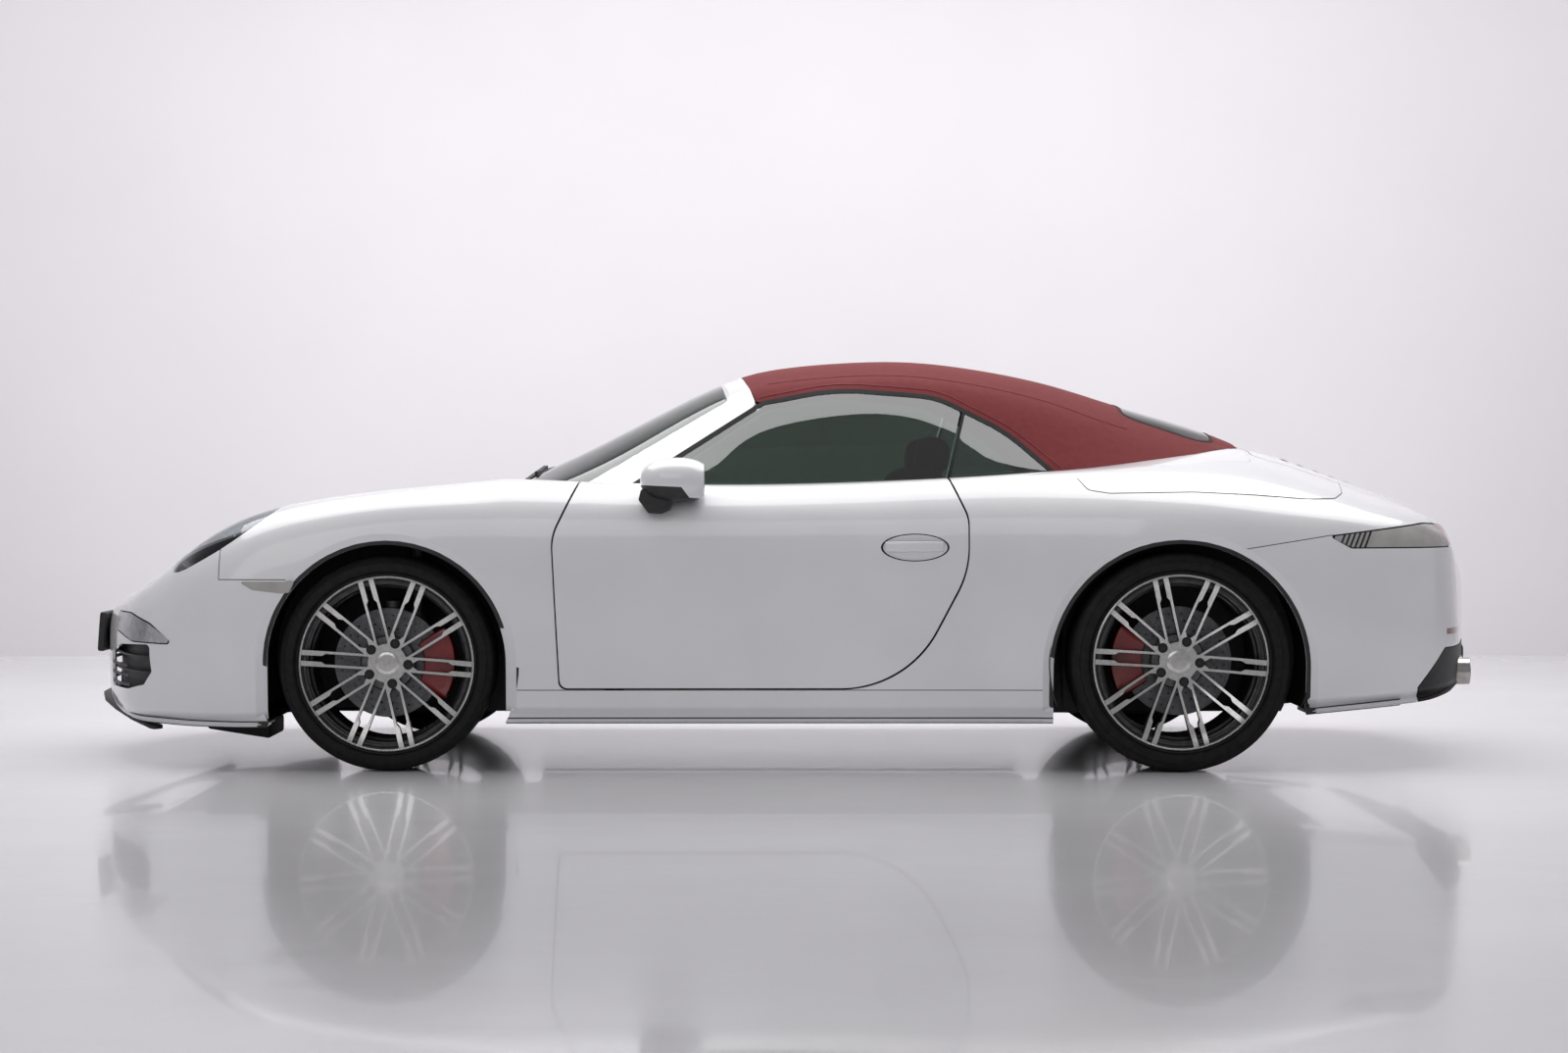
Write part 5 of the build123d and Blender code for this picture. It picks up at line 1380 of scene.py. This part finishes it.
def make_cowl():
    """Black panel between the front lid and the windscreen, with both wipers."""
    glass = body_solid, pieces["windscreen_glass"]
    parts = [meet(shell_of(body_solid, INNER_WALL), block(*COWL))]
    for y in WIPER_YS:
        pivot = height_at(WIPER_X, y, body_solid)
        parts.append(tilted_drum((WIPER_X, y, pivot), (0, 0, 1), 13, -10, 22, 32))
        elbow, first, last = [(x, y + dy, height_at(x, y + dy, *glass) + up) for x, dy, up in WIPER_PLACES]
        parts.append(bar((WIPER_X, y, pivot + WIPER_PLACES[0][2]), elbow, *WIPER_ARM))
        parts.append(bar(first, last, *WIPER_BLADE))
    return join(parts, "cowl")


def make_tailpipes():
    """Four bright tailpipe ends with their dark bores."""
    parts = []
    for pipe, bore in zip(pipe_drums(PIPE_END, PIPE_RADIUS, 0, 98), pipe_drums(PIPE_END, BORE_RADIUS, 30, 140)):
        parts.append(dress(bevelled(cut(pipe, bore), 1.4, 2), CHROME))
    parts += [dress(end, BLACK_TRIM) for end in pipe_drums(PIPE_END + 28, BORE_RADIUS - 0.1, 0, 4)]
    return smooth(join(parts, "tailpipes"))


for name, piece, finish, *replaced in (
    ("front_lip", make_lip(), BLACK_TRIM),
    ("intake_bars", make_intake_bars(), BLACK_TRIM),
    ("intake_backing", make_intake_backing(), BLACK_TRIM),
    ("wheel_flaps", make_flaps(), RUBBER),
    ("wheel_house_walls", make_house_walls(), BLACK_TRIM),
    ("cowl_and_wipers", make_cowl(), BLACK_TRIM, "wipers"),
):
    add(name, smooth(dress(piece, finish)), "body", *replaced)
add("front_plate", make_plate(), "body")
add("tailpipe_ends", make_tailpipes(), "body")

# ------------------------------------------------------------------ cabin
SEAT_Y, SEAT_HALF = 370, 235
PAD_GRAIN = 0.012  # size of the net that a cushion is remade from; m
PAD_INSET = 55  # the middle pads stop this far from the seat's sides
BOLSTER_WIDTH = 78
CUSHION = [(-165, 325), (-172, 428), (40, 408), (222, 398), (250, 330)]
CUSHION_RADII = [40, 45, 200, 40, 40]
BACKREST = [(232, 345), (205, 420), (395, 915), (440, 945), (500, 930), (470, 760), (345, 345)]
BACKREST_RADII = [30, 40, 50, 30, 40, 300, 30]
HEADREST = [(418, 930), (425, 1020), (470, 1038), (528, 1018), (520, 925)]
HEADREST_RADII = [20, 30, 40, 30, 20]
BOLSTER = [(x, z + 26) for x, z in CUSHION]
WING = [(x - 34 if z > 400 else x, z) for x, z in BACKREST[:3]] + BACKREST[3:]
REAR_CUSHION = [(610, 330), (600, 415), (728, 402), (780, 330)]
REAR_BACK = [(735, 360), (745, 430), (792, 815), (838, 815), (842, 360)]
REAR_SEAT_SPAN = (150, 540)


def make_pad(outline, radii, near, far, crown):
    """Cushion from its side view, with pulled-in edges and a crowned middle."""
    pad = bevelled(side_prism(outline, radii, near=near, far=far), 26, 4)
    apply_modifier(pad, "TRIANGULATE")
    apply_modifier(pad, "REMESH", mode="VOXEL", voxel_size=PAD_GRAIN)
    middle, half = (near + far) / 2, (far - near) / 2
    for vertex in pad.data.vertices:
        across = (abs(vertex.co.y) / MM - middle) / half
        swell = crown * MM * max(0.0, 1 - across * across) - 0.3 * crown * MM
        vertex.co += vertex.normal * swell
    apply_modifier(pad, "SMOOTH", factor=0.5, iterations=6)
    return smooth(dress(pad, LEATHER), 60)


def make_front_seat():
    """Left front seat: cushion with side bolsters, backrest and headrest."""
    low, high = SEAT_Y - SEAT_HALF, SEAT_Y + SEAT_HALF
    parts = [
        make_pad(CUSHION, CUSHION_RADII, low + PAD_INSET, high - PAD_INSET, 12),
        make_pad(BACKREST, BACKREST_RADII, low + PAD_INSET, high - PAD_INSET, 10),
        make_pad(HEADREST, HEADREST_RADII, SEAT_Y - 125, SEAT_Y + 125, 8),
    ]
    for near, far in ((low, low + BOLSTER_WIDTH), (high - BOLSTER_WIDTH, high)):
        parts.append(make_pad(BOLSTER, CUSHION_RADII, near, far, 8))
        parts.append(make_pad(WING, BACKREST_RADII, near, far, 8))
    return join(parts, "front_seat")


def make_rear_seat():
    return join([
        make_pad(REAR_CUSHION, [30, 35, 30, 20], *REAR_SEAT_SPAN, 12),
        make_pad(REAR_BACK, [20, 40, 20, 20, 20], *REAR_SEAT_SPAN, 10),
    ], "rear_seat")


for seat in (make_front_seat(), make_rear_seat()):
    start = seat.name
    add(f"{start}_right", mirrored(seat, "twin"), "body")
    add(f"{start}_left", seat, "body", f"{start}s")
discard(body_solid)

# the plain nodes that keep their CAD shape, by the start of their names
CAD_FINISH = {
    "knuckle": CAST_METAL, "front_suspension": CAST_METAL, "rear_hub_carriers": CAST_METAL,
    "rear_suspension": CAST_METAL, "engine_block": CAST_METAL, "exhaust": STEEL, "door_hinges": STEEL,
    "lid_hinges": STEEL, "dashboard": LEATHER, "centre_console": LEATHER, "steering_wheel": LEATHER,
    "seat_bases": BLACK_TRIM, "steering_column": BLACK_TRIM, "underbody": BLACK_TRIM,
    "wheel_arch_liners": BLACK_TRIM, "intake_grilles": BLACK_TRIM, "luggage_tub": CARPET,
}
for node_name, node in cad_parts.items():
    for start, finish in CAD_FINISH.items():
        if node_name.startswith(start):
            dress(node, finish)

# ------------------------------------------------------------------ floor, light and camera; in metres
WALL_Y = 5.6
STAGE_SIZE = 60
FOCAL_PIXELS = 3336
PICTURE = (1600, 1074)
SENSOR = 36  # mm
CAMERA_PLACE = (-0.0365, -10.970, 0.916)
VANISHING_U, HORIZON_V = 790, 484  # pixels
WORLD_TONE, WORLD_STRENGTH = (0.93, 0.92, 0.95, 1), 0.37


def one_sided(made):
    """Let a stage wall be seen only from its front, so that the object can be looked at from behind."""
    tree = made.node_tree
    back = shader_node(tree, "NewGeometry").outputs["Backfacing"]
    mix_shaders(tree, back, tree.nodes["Principled BSDF"], shader_node(tree, "BsdfTransparent"))
    return made


def area_light(name, place, aim, size, power):
    deselect()
    bpy.ops.object.light_add(type="AREA", location=place)
    light = bpy.context.object
    light.name = name
    light.data.shape = "RECTANGLE"
    light.data.size, light.data.size_y = size
    light.data.energy = power
    light.rotation_euler = (Vector(aim) - Vector(place)).to_track_quat("-Z", "Y").to_euler()


# a pale floor in front of a plain wall
floor = primitive("plane", "floor", size=STAGE_SIZE)
wall = primitive("plane", "wall", size=STAGE_SIZE)
for vertex in wall.data.vertices:
    vertex.co = Vector((vertex.co.x, WALL_Y, vertex.co.y + STAGE_SIZE / 2 - 0.1))
dress(floor, material(
    "floor_finish", (0.66, 0.65, 0.67), (0.72, 0.71, 0.73), 0.6, 0.06, 2.5, 0.02, Roughness=0.16, Coat_Weight=0.3
))
dress(wall, one_sided(material("wall_finish", (0.66, 0.64, 0.665), (0.70, 0.68, 0.705), 0.4, Roughness=0.9)))
area_light("ceiling", (0, 1.0, 4.6), (0, 1.0, 0), (9.0, 5.0), 430)
area_light("front_fill", (-2.5, -9.0, 4.0), (0, 0, 0.6), (7.0, 3.5), 80)
area_light("wall_wash", (0, 3.0, 4.4), (0, WALL_Y, 1.6), (11.0, 1.5), 100)

scene = bpy.context.scene
world = bpy.data.worlds.new("studio_air")
world.use_nodes = True
background = world.node_tree.nodes["Background"]
background.inputs["Color"].default_value = WORLD_TONE
background.inputs["Strength"].default_value = WORLD_STRENGTH
scene.world = world
scene.view_settings.view_transform = "Standard"

deselect()
bpy.ops.object.camera_add(location=CAMERA_PLACE, rotation=(math.pi / 2, 0, 0))
camera = bpy.context.object
camera.name = "camera"
camera.data.sensor_width = SENSOR
camera.data.lens = FOCAL_PIXELS / PICTURE[0] * SENSOR
camera.data.shift_x = (PICTURE[0] / 2 - VANISHING_U) / PICTURE[0]
camera.data.shift_y = (HORIZON_V - PICTURE[1] / 2) / PICTURE[0]
camera.data.clip_end = 100
scene.camera = camera
